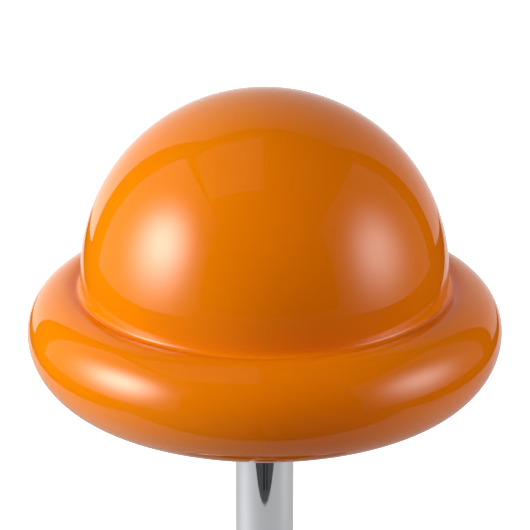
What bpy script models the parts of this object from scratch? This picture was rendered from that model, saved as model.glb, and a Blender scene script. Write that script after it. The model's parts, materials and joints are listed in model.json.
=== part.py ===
"""A table lamp with a one-piece blown-glass shade shaped like a bowler hat.

The glass lip stands on a gasket in a sheet-metal ring.  A three-armed spider
carries the ring on top of a chromed tube, and the tube stands on a weighted
round base that holds the push switch and the wiring.

Units are metres, +Z is up, the front faces -Y, and the origin is the point
on the table under the middle of the lamp.
"""

import math

import bmesh
import bpy
from mathutils import Matrix, Vector

# ---------------------------------------------------------------- sizes
GAP = 0.0003  # clearance between pieces that rest on or sit in each other

# overall
LAMP_HEIGHT = 0.440

# glass shade
DOME_RADIUS = 0.1235
GLASS_WALL = 0.0035
BRIM_REACH = 0.0365  # how far the brim stands out past the dome
BRIM_WIDEST_DROP = 0.0402  # widest point of the brim, below the dome's centre
BRIM_CREST_INSET = 0.0013  # middle of the brim's upper curve, in from the dome's wall
BRIM_CREST_DROP = 0.0065
BRIM_BOTTOM_DROP = 0.079
BRIM_UPPER_POWER = 2.07  # 2 makes this half of the brim an ellipse, and more makes it fuller
BRIM_LOWER_POWER = 1.90
CREASE_DROP = 0.0088  # bottom of the crease between the dome and the brim
CREASE_ROUND = 0.0030
SHOULDER_ROUND = 0.0117  # where the brim rises out of the crease
CREASE_END_DEGREES = 290
SHOULDER_END_DEGREES = 70
LIP_CURL_RADIUS = 0.030
LIP_CURL_DEGREES = 30

# ring, gasket and spider that carry the shade
SEAT_DROP = 0.0020  # top of the ring, below the lowest point of the glass
RING_SHEET = 0.0015
RING_FLANGE = 0.0012
RING_FLANGE_RISE = 0.0075
RING_LIP_CLEARANCE = 0.0035  # from the flange to the glass lip
RING_WIDTH = 0.014
GASKET_INSET = 0.0018  # from the glass lip to the gasket
GASKET_WIDTH = 0.005
RIVET_RADIUS = 0.0015
RIVET_HEAD_RADIUS = 0.0021
RIVET_HEAD_HEIGHT = 0.0009
SPIDER_SHEET = 0.0025
SPIDER_HUB_RADIUS = 0.0205
SPIDER_ARM_WIDTH = 0.012
ARM_ANGLES = (90, 210, 330)

# stem
STEM_RADIUS = 0.020
STEM_WALL = 0.0015
UPPER_PLUG_FLANGE = 0.0025
UPPER_PLUG_DEPTH = 0.010
LOWER_PLUG_HEIGHT = 0.010
NIPPLE_RADIUS = 0.005
NIPPLE_BORE = 0.0036
NIPPLE_NUT_RADIUS = 0.0095
NIPPLE_NUT_HEIGHT = 0.005
NIPPLE_TAIL = 0.002  # below its nut
NIPPLE_RISE = 0.0115  # into the lampholder

# base
BASE_RADIUS = 0.100
BASE_HEIGHT = 0.024
COVER_WALL = 0.0012
COVER_EDGE_ROUND = 0.007
FOOT_RADIUS = 0.008
FOOT_THICKNESS = 0.0022
FOOT_INSET = 0.016
PLATE_THICKNESS = 0.0015
PLATE_CLEARANCE = 0.0005
WEIGHT_THICKNESS = 0.013
WEIGHT_CLEARANCE = 0.0028
BOSS_MARGIN = 0.005  # the weight's boss, out past the stem
BOLT_RADIUS = 0.004
BOLT_HEAD_RADIUS = 0.0075
BOLT_HEAD_HEIGHT = 0.0053
BOLT_POCKET_RADIUS = 0.013
BOLT_POCKET_DEPTH = 0.0082
WASHER_RADIUS = 0.010
WASHER_THICKNESS = 0.0015
PLATE_SCREW_RADIUS = 0.002
PLATE_SCREW_LENGTH = 0.009
PLATE_SCREW_HEAD_RADIUS = 0.0036
PLATE_SCREW_HEAD_HEIGHT = 0.0015
PLATE_SCREW_ANGLES = (30, 150, 270)
SCREW_SLOT_WIDTH = 0.0008
SCREW_SLOT_DEPTH = 0.0007

# wiring
CORD_BUSH_HEIGHT = 0.0115  # its axis, above the table
CORD_BUSH_BORE = 0.0045
CORD_BUSH_NECK = 0.0059
CORD_BUSH_FLANGE = 0.0076
CORD_BUSH_FLANGE_THICKNESS = 0.0022
CORD_BUSH_TAIL = 0.006
WIRE_POCKET_WIDTH = 0.026
WIRE_POCKET_START = 0.028
CABLE_SLOT_WIDTH = 0.008
CABLE_SLOT_START = 0.0075
CABLE_OFFSET = 0.011  # cable hole in the lower plug, behind the bolt
CABLE_HOLE_RADIUS = 0.0034
BLOCK_SIZE = (0.022, 0.018, 0.0105)
BLOCK_DISTANCE = 0.056
BLOCK_BORE = 0.0023
BLOCK_BORE_SPREAD = 0.0055
BLOCK_BORE_HEIGHT = 0.0042
BLOCK_WELL_SPREAD = 0.0045
BLOCK_WELL_RADIUS = 0.0019
INSERT_RADIUS = 0.0019
INSERT_BORE = 0.0013
INSERT_LENGTH = 0.016
STEM_LEAD_RADIUS = 0.0026
# between the plug and the nipple: how far off the axis the lead still is, and how far it has climbed
STEM_LEAD_BENDS = ((0.8, 0.25), (0.35, 0.6), (0.06, 0.86))
STEM_LEAD_RISE = 0.018  # into the lampholder
SWITCH_LEAD_RADIUS = 0.0018

# push switch
SWITCH_DISTANCE = 0.062
SWITCH_BODY_RADIUS = 0.0095
SWITCH_BODY_TOP = 0.0185
SWITCH_BODY_BOTTOM = 0.005
SWITCH_NECK_RADIUS = 0.0079
SWITCH_NECK_STANDS = 0.003  # above the cover
SWITCH_BORE = 0.0057
SWITCH_BORE_BOTTOM = 0.0100
SWITCH_POCKET_MARGIN = 0.001
BEZEL_WIDTH = 0.0033
BEZEL_HEIGHT = 0.0027
BUTTON_RADIUS = 0.0054
BUTTON_STANDS = 0.0032  # above the switch's neck
BUTTON_TAIL = 0.0118  # below the neck's top
BUTTON_CROWN = 0.0012
SPRING_COIL_RADIUS = 0.0037
SPRING_WIRE_RADIUS = 0.00035
SPRING_TURNS = 2.5

# lampholder, sizes up from the top of the spider's hub
HOLDER_RADIUS = 0.020
HOLDER_WALL = 0.0018
HOLDER_NECK_RADIUS = 0.0085
HOLDER_NECK_HEIGHT = 0.009
HOLDER_SHOULDER_HEIGHT = 0.020
HOLDER_SPLIT_HEIGHT = 0.030
HOLDER_HEIGHT = 0.060
HOLDER_FLANGE_RADIUS = 0.0225
HOLDER_FLANGE_HEIGHT = 0.040
HOLDER_FLANGE_THICKNESS = 0.0025
HOLDER_LINER_RADIUS = 0.0152
INSERT_BLOCK_RADIUS = 0.0175
INSERT_BLOCK_BOTTOM = 0.0225
INSERT_BLOCK_TOP = 0.0340
INSERT_BLOCK_HOLE = 0.0018
INSERT_BLOCK_HOLE_SPREAD = 0.010
SCREW_SHELL_RADIUS = 0.0146
SCREW_SHELL_BORE = 0.0139
SCREW_SHELL_TOP = 0.057
CENTRE_CONTACT_RADIUS = 0.0026
CENTRE_CONTACT_HEIGHT = 0.0022

# bulb, sizes up from its contact tip
BULB_CAP_RADIUS = 0.0131
BULB_CAP_WALL = 0.0005
BULB_CAP_BOTTOM = 0.0055
BULB_CAP_TOP = 0.0255
BULB_TIP_RADIUS = 0.0045
BULB_TIP_HEIGHT = 0.0016
BULB_INSULATOR_RADIUS = 0.0118
BULB_INSULATOR_HEIGHT = 0.0036
BULB_RADIUS = 0.030
BULB_LENGTH = 0.105
BULB_GLASS = 0.001
BULB_NECK_BOTTOM = 0.016
BULB_NECK_GROWTH = 0.0016  # how much wider than the cap the neck is where it leaves it

# smoothness
SHADE_SIDES = 48
RING_SIDES = 48
BASE_SIDES = 48
TUBE_SIDES = 32
SMALL_SIDES = 20
SCREW_SIDES = 12
ARM_END_STEPS = 8
HUB_EDGE_STEPS = 5

# ---------------------------------------------------------------- levels worked out from the sizes
FRONT = -1
dome_centre = LAMP_HEIGHT - DOME_RADIUS
shade_bottom = dome_centre - BRIM_BOTTOM_DROP
brim_radius = DOME_RADIUS + BRIM_REACH
lip_angle = math.radians(LIP_CURL_DEGREES)
curl_centre = Vector((DOME_RADIUS, shade_bottom + LIP_CURL_RADIUS))
lip_radius = curl_centre.x - LIP_CURL_RADIUS * math.sin(lip_angle)

ring_top = shade_bottom - SEAT_DROP
ring_bottom = ring_top - RING_SHEET
ring_inner = lip_radius - RING_LIP_CLEARANCE - RING_FLANGE
ring_outer = ring_inner + RING_WIDTH
gasket_inner = lip_radius + GASKET_INSET
gasket_outer = gasket_inner + GASKET_WIDTH
rivet_distance = (ring_inner + RING_FLANGE + gasket_inner) / 2

hub_top = ring_bottom - GAP
hub_bottom = hub_top - SPIDER_SHEET
plug_top = hub_bottom - GAP
stem_top = plug_top - UPPER_PLUG_FLANGE - GAP
stem_bore = STEM_RADIUS - STEM_WALL
upper_plug_bottom = plug_top - UPPER_PLUG_FLANGE - UPPER_PLUG_DEPTH
nipple_nut_top = upper_plug_bottom - GAP
holder_bottom = hub_top + GAP

plate_bottom = FOOT_THICKNESS + GAP
plate_top = plate_bottom + PLATE_THICKNESS
plate_radius = BASE_RADIUS - COVER_WALL - PLATE_CLEARANCE
weight_bottom = plate_top + GAP
weight_top = weight_bottom + WEIGHT_THICKNESS
weight_radius = BASE_RADIUS - COVER_WALL - WEIGHT_CLEARANCE
cover_underside = BASE_HEIGHT - COVER_WALL
boss_top = cover_underside - GAP
boss_radius = STEM_RADIUS + BOSS_MARGIN
stem_bottom = BASE_HEIGHT + GAP
foot_distance = BASE_RADIUS - FOOT_INSET
cover_hole = CABLE_OFFSET + CABLE_HOLE_RADIUS + GAP

pocket_floor = weight_bottom + BOLT_POCKET_DEPTH
washer_bottom = pocket_floor - GAP - WASHER_THICKNESS
bolt_head_top = washer_bottom - GAP
bolt_clearance = BOLT_RADIUS + 2 * GAP

neck_top = BASE_HEIGHT + SWITCH_NECK_STANDS
button_bottom = neck_top - BUTTON_TAIL
switch_place = Vector((0, FRONT * SWITCH_DISTANCE, 0))
bulb_tip = holder_bottom + INSERT_BLOCK_TOP + GAP + CENTRE_CONTACT_HEIGHT + GAP

# The leads keep to these hand-chosen routes inside the base.  The stem lead goes on up the tube.
STEM_LEAD_ROUTE = (
    (0, 0.0460, 0.0087),
    (0, 0.0380, 0.0086),
    (0, 0.0290, 0.0088),
    (0, 0.0190, 0.0115),
    (0, 0.0128, 0.0180),
    (0, 0.0111, 0.0240),
    (0, 0.0110, 0.0400),
)
SWITCH_LEAD_ROUTE = (
    (0.0070, 0.0458, 0.0088),
    (0.0070, 0.0425, 0.0098),
    (0.0084, 0.0380, 0.0150),
    (0.0120, 0.0345, 0.0200),
    (0.0200, 0.0300, 0.0202),
    (0.0300, 0.0200, 0.0202),
    (0.0350, 0.0020, 0.0202),
    (0.0330, -0.0180, 0.0202),
    (0.0240, -0.0360, 0.0202),
    (0.0120, -0.0480, 0.0204),
    (0.0044, -0.0540, 0.0207),
)

# ---------------------------------------------------------------- colours: red, green, blue, roughness, metallic
FINISHES = {
    "orange_cased_glass": (0.80, 0.24, 0.01, 0.05, 0.0),
    "chrome": (0.80, 0.81, 0.83, 0.05, 1.0),
    "zinc_steel": (0.55, 0.56, 0.56, 0.35, 1.0),
    "cast_iron": (0.08, 0.08, 0.085, 0.7, 0.4),
    "black_steel": (0.03, 0.03, 0.03, 0.5, 0.2),
    "black_rubber": (0.02, 0.02, 0.02, 0.8, 0.0),
    "clear_silicone": (0.75, 0.75, 0.73, 0.4, 0.0),
    "black_bakelite": (0.03, 0.027, 0.025, 0.25, 0.0),
    "white_ceramic": (0.85, 0.84, 0.80, 0.3, 0.0),
    "brass": (0.72, 0.53, 0.22, 0.25, 1.0),
    "nickel": (0.68, 0.66, 0.60, 0.2, 1.0),
    "opal_glass": (0.92, 0.91, 0.88, 0.15, 0.0),
    "white_cable": (0.80, 0.80, 0.78, 0.5, 0.0),
    "white_plastic": (0.83, 0.83, 0.80, 0.4, 0.0),
}


# ---------------------------------------------------------------- helpers
def clear_scene():
    for obj in list(bpy.data.objects):
        bpy.data.objects.remove(obj, do_unlink=True)


def new_collection(name):
    collection = bpy.data.collections.new(name)
    bpy.context.scene.collection.children.link(collection)
    return collection


def finish(name):
    """The material of this name, made the first time it is asked for."""
    found = bpy.data.materials.get(name)
    if found:
        return found
    red, green, blue, roughness, metallic = FINISHES[name]
    made = bpy.data.materials.new(name)
    made.use_nodes = True
    shader = made.node_tree.nodes["Principled BSDF"]
    shader.inputs["Base Color"].default_value = (red, green, blue, 1)
    shader.inputs["Roughness"].default_value = roughness
    shader.inputs["Metallic"].default_value = metallic
    return made


def place(obj, material=None, parent=None):
    """Links a piece with its material, or a cutter when it has none."""
    if material:
        lamp_pieces.objects.link(obj)
        obj.data.materials.append(finish(material))
    else:
        cutters.objects.link(obj)
        obj.hide_render = True
        obj.display_type = "WIRE"
    if parent:
        obj.parent = parent
        obj.matrix_parent_inverse = Matrix.Translation(-parent.location)
    return obj


def axis_empty(name, point):
    """An empty on the axis of a moving piece."""
    empty = bpy.data.objects.new(name, None)
    empty.location = point
    lamp_pieces.objects.link(empty)
    return empty


def turned(name, profile, sides, material=None, parent=None, closed=True):
    """A profile of (radius, height) points turned round Z.  A closed one is a ring;
    an open one starts and ends on the axis."""
    points = [(radius, 0, height) for radius, height in profile]
    edges = [(i, i + 1) for i in range(len(points) - 1)]
    if closed:
        edges.append((len(points) - 1, 0))
    mesh = bpy.data.meshes.new(name)
    mesh.from_pydata(points, edges, [])
    obj = place(bpy.data.objects.new(name, mesh), material, parent)
    screw = obj.modifiers.new("turn", "SCREW")
    screw.axis = "Z"
    screw.steps = sides
    screw.render_steps = sides
    screw.use_merge_vertices = True
    screw.merge_threshold = 0.00001
    return obj


def arc(centre, radius_x, radius_z, start, end, steps, power=2):
    """Points (radius, height) along an ellipse from one angle to another, in degrees.
    Another power makes it a superellipse."""
    points = []
    for i in range(steps + 1):
        angle = math.radians(start + (end - start) * i / steps)
        across, up = math.cos(angle), math.sin(angle)
        x = math.copysign(abs(across) ** (2 / power), across) * radius_x
        z = math.copysign(abs(up) ** (2 / power), up) * radius_z
        points.append((centre[0] + x, centre[1] + z))
    return points


def ring_profile(inner, outer, bottom, top):
    return [(inner, top), (outer, top), (outer, bottom), (inner, bottom)]


def rod(name, radius, start, end, sides, material=None, parent=None):
    """A straight cylinder between two points.  Its corners are turned a quarter of a side
    from the axes, so that a hole's corners miss those of the piece it goes through."""
    start, end = Vector(start), Vector(end)
    mesh = bpy.data.meshes.new(name)
    shape = bmesh.new()
    bmesh.ops.create_cone(
        shape,
        cap_ends=True,
        segments=sides,
        radius1=radius,
        radius2=radius,
        depth=(end - start).length,
    )
    quarter_side = Matrix.Rotation(math.pi / (2 * sides), 4, "Z")
    turn = (end - start).to_track_quat("Z", "Y").to_matrix().to_4x4()
    bmesh.ops.transform(shape, matrix=turn @ quarter_side, verts=shape.verts)
    shape.to_mesh(mesh)
    shape.free()
    obj = place(bpy.data.objects.new(name, mesh), material, parent)
    obj.location = (start + end) / 2
    return obj


def block(name, low, high, material=None, parent=None):
    """A box between two corners."""
    low, high = Vector(low), Vector(high)
    mesh = bpy.data.meshes.new(name)
    shape = bmesh.new()
    bmesh.ops.create_cube(shape, size=1)
    bmesh.ops.scale(shape, vec=high - low, verts=shape.verts)
    shape.to_mesh(mesh)
    shape.free()
    obj = place(bpy.data.objects.new(name, mesh), material, parent)
    obj.location = (low + high) / 2
    return obj


def cut(obj, *tools):
    for tool in tools:
        boolean = obj.modifiers.new("cut_" + tool.name, "BOOLEAN")
        boolean.operation = "DIFFERENCE"
        boolean.object = tool
    return obj


def frozen(obj):
    """The piece's shape with its modifiers applied, so that copies can share the mesh."""
    graph = bpy.context.evaluated_depsgraph_get()
    mesh = bpy.data.meshes.new_from_object(obj.evaluated_get(graph))
    obj.modifiers.clear()
    obj.data = mesh
    return obj


def copy_of(obj, name, location, turn_degrees=0):
    twin = bpy.data.objects.new(name, obj.data)
    lamp_pieces.objects.link(twin)
    twin.location = location
    twin.rotation_euler.z = math.radians(turn_degrees)
    return twin


def on_circle(distance, degrees, height=0):
    angle = math.radians(degrees)
    return Vector((distance * math.cos(angle), distance * math.sin(angle), height))


def smooth_route(route, per_span):
    """Points on a Catmull-Rom curve through the route's own points."""
    knots = [Vector(p) for p in route]
    knots = [2 * knots[0] - knots[1], *knots, 2 * knots[-1] - knots[-2]]
    points = []
    for a, b, c, d in zip(knots, knots[1:], knots[2:], knots[3:]):
        for i in range(per_span):
            t = i / per_span
            points.append(
                0.5
                * (
                    2 * b
                    + (c - a) * t
                    + (2 * a - 5 * b + 4 * c - d) * t * t
                    + (3 * b - a - 3 * c + d) * t**3
                )
            )
    return [*points, knots[-2]]


def wire(name, points, radius, material):
    """A round wire along these points, with closed ends."""
    curve = bpy.data.curves.new(name, "CURVE")
    curve.dimensions = "3D"
    curve.bevel_depth = radius
    curve.bevel_resolution = 2
    curve.use_fill_caps = True
    spline = curve.splines.new("POLY")
    spline.points.add(len(points) - 1)
    for knot, point in zip(spline.points, points):
        knot.co = (*point, 1)
    return place(bpy.data.objects.new(name, curve), material)


def flat_sheet(name, outlines, bottom, thickness, material):
    """A flat sheet from closed outlines of (x, y) points, the first its edge and the rest its holes."""
    curve = bpy.data.curves.new(name, "CURVE")
    curve.dimensions = "2D"
    curve.fill_mode = "BOTH"
    curve.extrude = thickness / 2
    for outline in outlines:
        spline = curve.splines.new("POLY")
        spline.points.add(len(outline) - 1)
        for knot, (x, y) in zip(spline.points, outline):
            knot.co = (x, y, 0, 1)
        spline.use_cyclic_u = True
    obj = place(bpy.data.objects.new(name, curve), material)
    obj.location.z = bottom + thickness / 2
    return obj


def circle_outline(centre, radius, sides):
    points = []
    for i in range(sides):
        angle = 2 * math.pi * i / sides
        points.append((centre.x + radius * math.cos(angle), centre.y + radius * math.sin(angle)))
    return points


# ---------------------------------------------------------------- shade
def shade_outline(wall):
    """The glass at this depth under its outer surface, from the top of the dome to the lip."""
    dome = DOME_RADIUS - wall
    crest = DOME_RADIUS - BRIM_CREST_INSET
    crest_height = dome_centre - BRIM_CREST_DROP
    widest = dome_centre - BRIM_WIDEST_DROP
    crease = CREASE_ROUND + wall
    crease_x = DOME_RADIUS + CREASE_ROUND
    crease_z = dome_centre - CREASE_DROP + CREASE_ROUND
    shoulder = SHOULDER_ROUND - wall
    crease_end = math.radians(CREASE_END_DEGREES)
    shoulder_x = crease_x + (CREASE_ROUND + SHOULDER_ROUND) * math.cos(crease_end)
    shoulder_z = crease_z + (CREASE_ROUND + SHOULDER_ROUND) * math.sin(crease_end)
    points = arc((0, dome_centre), dome, dome, 90, 0, 10)
    points += arc((crease_x, crease_z), crease, crease, 180, CREASE_END_DEGREES, 3)
    points += arc((shoulder_x, shoulder_z), shoulder, shoulder, 91, 75, 1)
    points += arc(
        (crest, widest),
        brim_radius - crest - wall,
        crest_height - widest - wall,
        SHOULDER_END_DEGREES,
        0,
        5,
        BRIM_UPPER_POWER,
    )
    points += arc(
        (DOME_RADIUS, widest),
        BRIM_REACH - wall,
        widest - shade_bottom - wall,
        -16,
        -90,
        5,
        BRIM_LOWER_POWER,
    )
    curl = LIP_CURL_RADIUS - wall
    points += arc(curl_centre, curl, curl, -90, -90 - LIP_CURL_DEGREES, 2)[1:]
    return points


def make_shade(parent):
    outside = shade_outline(0)
    inside = shade_outline(GLASS_WALL)
    profile = [(0, outside[0][1]), *outside[1:], *reversed(inside[1:]), (0, inside[0][1])]
    turned("glass_shade", profile, SHADE_SIDES, "orange_cased_glass", parent, closed=False)


def glass_underside(radius):
    """Height of the glass above the seat at this radius."""
    return curl_centre.y - math.sqrt(LIP_CURL_RADIUS**2 - (curl_centre.x - radius) ** 2)


def make_shade_seat(parent):
    flange_top = ring_top + RING_FLANGE_RISE
    flange_outer = ring_inner + RING_FLANGE
    ring = turned(
        "shade_ring",
        [
            (ring_inner, flange_top),
            (flange_outer, flange_top),
            (flange_outer, ring_top),
            (ring_outer, ring_top),
            (ring_outer, ring_bottom),
            (ring_inner, ring_bottom),
        ],
        RING_SIDES,
        "chrome",
    )
    holes = []
    for number, angle in enumerate(ARM_ANGLES, 1):
        spot = on_circle(rivet_distance, angle)
        holes.append(
            rod(
                f"rivet_hole_{number}",
                RIVET_RADIUS + GAP,
                spot + Vector((0, 0, hub_bottom - RING_SHEET)),
                spot + Vector((0, 0, ring_top + RING_SHEET)),
                SCREW_SIDES,
            )
        )
    cut(ring, *holes)
    seat_bottom = ring_top + GAP
    turned(
        "shade_gasket",
        [
            (gasket_inner, glass_underside(gasket_inner) - 1.5 * GAP),
            (gasket_outer, glass_underside(gasket_outer) - 1.5 * GAP),
            (gasket_outer, seat_bottom),
            (gasket_inner, seat_bottom),
        ],
        RING_SIDES,
        "clear_silicone",
        parent,
    )


def spider_outline():
    """Edge of the hub and its arms, going round counter-clockwise."""
    half = SPIDER_ARM_WIDTH / 2
    root_angle = math.degrees(math.asin(half / SPIDER_HUB_RADIUS))
    step = 360 / len(ARM_ANGLES)
    points = []
    for angle in ARM_ANGLES:
        tip = on_circle(rivet_distance, angle)
        for i in range(ARM_END_STEPS + 1):
            spot = tip + on_circle(half, angle - 90 + 180 * i / ARM_END_STEPS)
            points.append((spot.x, spot.y))
        for i in range(HUB_EDGE_STEPS + 1):
            share = i / HUB_EDGE_STEPS
            around = angle + root_angle + (step - 2 * root_angle) * share
            spot = on_circle(SPIDER_HUB_RADIUS, around)
            points.append((spot.x, spot.y))
    return points


def make_spider():
    holes = [circle_outline(Vector((0, 0)), NIPPLE_RADIUS + GAP, SMALL_SIDES)]
    for angle in ARM_ANGLES:
        holes.append(circle_outline(on_circle(rivet_distance, angle), RIVET_RADIUS + GAP, SCREW_SIDES))
    flat_sheet("spider", [spider_outline(), *holes], hub_bottom, SPIDER_SHEET, "chrome")


def make_rivets():
    low_head = hub_bottom - GAP - RIVET_HEAD_HEIGHT
    high_head = ring_top + GAP + RIVET_HEAD_HEIGHT
    for number, angle in enumerate(ARM_ANGLES, 1):
        rivet = turned(
            f"ring_rivet_{number}",
            [
                (0, high_head),
                (RIVET_HEAD_RADIUS * 0.7, high_head),
                (RIVET_HEAD_RADIUS, ring_top + GAP),
                (RIVET_RADIUS, ring_top + GAP),
                (RIVET_RADIUS, hub_bottom - GAP),
                (RIVET_HEAD_RADIUS, hub_bottom - GAP),
                (RIVET_HEAD_RADIUS * 0.7, low_head),
                (0, low_head),
            ],
            SCREW_SIDES,
            "nickel",
            closed=False,
        )
        rivet.location = on_circle(rivet_distance, angle)


# ---------------------------------------------------------------- stem
def make_stem():
    turned("stem_tube", ring_profile(stem_bore, STEM_RADIUS, stem_bottom, stem_top), TUBE_SIDES, "chrome")
    spigot = stem_bore - GAP
    hole = NIPPLE_RADIUS + GAP
    flange_bottom = plug_top - UPPER_PLUG_FLANGE
    turned(
        "upper_plug",
        [
            (hole, plug_top),
            (STEM_RADIUS - UPPER_PLUG_FLANGE / 2, plug_top),
            (STEM_RADIUS, plug_top - UPPER_PLUG_FLANGE / 2),
            (STEM_RADIUS, flange_bottom),
            (spigot, flange_bottom),
            (spigot, upper_plug_bottom),
            (hole, upper_plug_bottom),
        ],
        TUBE_SIDES,
        "chrome",
    )
    plug = turned(
        "lower_plug",
        ring_profile(BOLT_RADIUS + GAP, spigot, stem_bottom, stem_bottom + LOWER_PLUG_HEIGHT),
        TUBE_SIDES,
        "zinc_steel",
    )
    cable_hole = rod(
        "cable_hole",
        CABLE_HOLE_RADIUS,
        (0, CABLE_OFFSET, stem_bottom - COVER_WALL),
        (0, CABLE_OFFSET, stem_bottom + LOWER_PLUG_HEIGHT + COVER_WALL),
        SCREW_SIDES,
    )
    cut(plug, cable_hole)


def make_nipple():
    top = holder_bottom + NIPPLE_RISE
    bottom = nipple_nut_top - NIPPLE_NUT_HEIGHT - NIPPLE_TAIL
    turned("nipple", ring_profile(NIPPLE_BORE, NIPPLE_RADIUS, bottom, top), SMALL_SIDES, "zinc_steel")
    nut = rod(
        "nipple_nut",
        NIPPLE_NUT_RADIUS,
        (0, 0, nipple_nut_top - NIPPLE_NUT_HEIGHT),
        (0, 0, nipple_nut_top),
        6,
        "zinc_steel",
    )
    nut_bore = rod(
        "nipple_nut_bore",
        NIPPLE_RADIUS + GAP,
        (0, 0, nipple_nut_top - 2 * NIPPLE_NUT_HEIGHT),
        (0, 0, nipple_nut_top + NIPPLE_NUT_HEIGHT),
        SMALL_SIDES,
    )
    cut(nut, nut_bore)


# ---------------------------------------------------------------- base
def make_cover():
    corner = (BASE_RADIUS - COVER_EDGE_ROUND, BASE_HEIGHT - COVER_EDGE_ROUND)
    inner_round = COVER_EDGE_ROUND - COVER_WALL
    cover = turned(
        "base_cover",
        [
            (cover_hole, BASE_HEIGHT),
            *arc(corner, COVER_EDGE_ROUND, COVER_EDGE_ROUND, 90, 0, 4),
            (BASE_RADIUS, plate_bottom),
            (BASE_RADIUS - COVER_WALL, plate_bottom),
            *arc(corner, inner_round, inner_round, 0, 90, 4),
            (cover_hole, cover_underside),
        ],
        BASE_SIDES,
        "chrome",
    )
    switch_hole = rod(
        "switch_hole",
        SWITCH_NECK_RADIUS + GAP,
        switch_place + Vector((0, 0, cover_underside - COVER_WALL)),
        switch_place + Vector((0, 0, BASE_HEIGHT + COVER_WALL)),
        SMALL_SIDES,
    )
    cord_hole = rod(
        "cord_hole",
        CORD_BUSH_NECK + GAP,
        (0, BASE_RADIUS - 5 * COVER_WALL, CORD_BUSH_HEIGHT),
        (0, BASE_RADIUS + 5 * COVER_WALL, CORD_BUSH_HEIGHT),
        SMALL_SIDES,
    )
    cut(cover, switch_hole, cord_hole)


def make_weight():
    weight = turned(
        "base_weight",
        [
            (bolt_clearance, boss_top),
            (boss_radius, boss_top),
            (boss_radius, weight_top),
            (weight_radius, weight_top),
            (weight_radius, weight_bottom),
            (BOLT_POCKET_RADIUS, weight_bottom),
            (BOLT_POCKET_RADIUS, pocket_floor),
            (bolt_clearance, pocket_floor),
        ],
        BASE_SIDES,
        "cast_iron",
    )
    below, above = weight_bottom - FOOT_THICKNESS, boss_top + FOOT_THICKNESS
    wire_pocket = block(
        "wire_pocket",
        (-WIRE_POCKET_WIDTH / 2, WIRE_POCKET_START, below),
        (WIRE_POCKET_WIDTH / 2, BASE_RADIUS, above),
    )
    cable_slot = block(
        "cable_slot",
        (-CABLE_SLOT_WIDTH / 2, CABLE_SLOT_START, below),
        (CABLE_SLOT_WIDTH / 2, WIRE_POCKET_START + CABLE_SLOT_WIDTH, above),
    )
    switch_pocket = rod(
        "switch_pocket",
        SWITCH_BODY_RADIUS + SWITCH_POCKET_MARGIN,
        switch_place + Vector((0, 0, below)),
        switch_place + Vector((0, 0, above)),
        SMALL_SIDES,
    )
    cut(weight, wire_pocket, cable_slot, switch_pocket)
    for number, angle in enumerate(PLATE_SCREW_ANGLES, 1):
        spot = on_circle(foot_distance, angle)
        screw_hole = rod(
            f"weight_screw_hole_{number}",
            PLATE_SCREW_RADIUS + GAP,
            spot + Vector((0, 0, below)),
            spot + Vector((0, 0, plate_bottom + PLATE_SCREW_LENGTH + 2 * GAP)),
            SCREW_SIDES,
        )
        cut(weight, screw_hole)


def make_plate():
    holes = [
        circle_outline(on_circle(foot_distance, angle), PLATE_SCREW_RADIUS + GAP, SCREW_SIDES)
        for angle in PLATE_SCREW_ANGLES
    ]
    edge = circle_outline(Vector((0, 0)), plate_radius, BASE_SIDES)
    flat_sheet("bottom_plate", [edge, *holes], plate_bottom, PLATE_THICKNESS, "black_steel")


def make_feet():
    chamfer = FOOT_THICKNESS / 3
    foot = turned(
        "rubber_foot_1",
        [
            (0, FOOT_THICKNESS),
            (FOOT_RADIUS, FOOT_THICKNESS),
            (FOOT_RADIUS, chamfer),
            (FOOT_RADIUS - chamfer, 0),
            (0, 0),
        ],
        SMALL_SIDES,
        "black_rubber",
        closed=False,
    )
    frozen(foot)
    foot.location = on_circle(foot_distance, 45)
    for number, angle in enumerate((135, 225, 315), 2):
        copy_of(foot, f"rubber_foot_{number}", on_circle(foot_distance, angle))


def make_plate_screws():
    head_top = plate_bottom - GAP
    head_bottom = head_top - PLATE_SCREW_HEAD_HEIGHT
    screw = turned(
        "plate_screw_1",
        [
            (0, plate_bottom + PLATE_SCREW_LENGTH),
            (PLATE_SCREW_RADIUS * 0.8, plate_bottom + PLATE_SCREW_LENGTH),
            (PLATE_SCREW_RADIUS, plate_bottom + PLATE_SCREW_LENGTH - PLATE_SCREW_RADIUS / 2),
            (PLATE_SCREW_RADIUS, head_top),
            (PLATE_SCREW_HEAD_RADIUS, head_top),
            (PLATE_SCREW_HEAD_RADIUS, head_bottom + PLATE_SCREW_HEAD_HEIGHT / 2),
            (PLATE_SCREW_HEAD_RADIUS * 0.75, head_bottom),
            (0, head_bottom),
        ],
        SCREW_SIDES,
        "zinc_steel",
        closed=False,
    )
    slot = block(
        "screw_slot",
        (-2 * PLATE_SCREW_HEAD_RADIUS, -SCREW_SLOT_WIDTH / 2, head_bottom - SCREW_SLOT_DEPTH),
        (2 * PLATE_SCREW_HEAD_RADIUS, SCREW_SLOT_WIDTH / 2, head_bottom + SCREW_SLOT_DEPTH),
    )
    frozen(cut(screw, slot))
    screw.location = on_circle(foot_distance, PLATE_SCREW_ANGLES[0])
    for number, angle in enumerate(PLATE_SCREW_ANGLES[1:], 2):
        copy_of(screw, f"plate_screw_{number}", on_circle(foot_distance, angle), angle)


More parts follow.
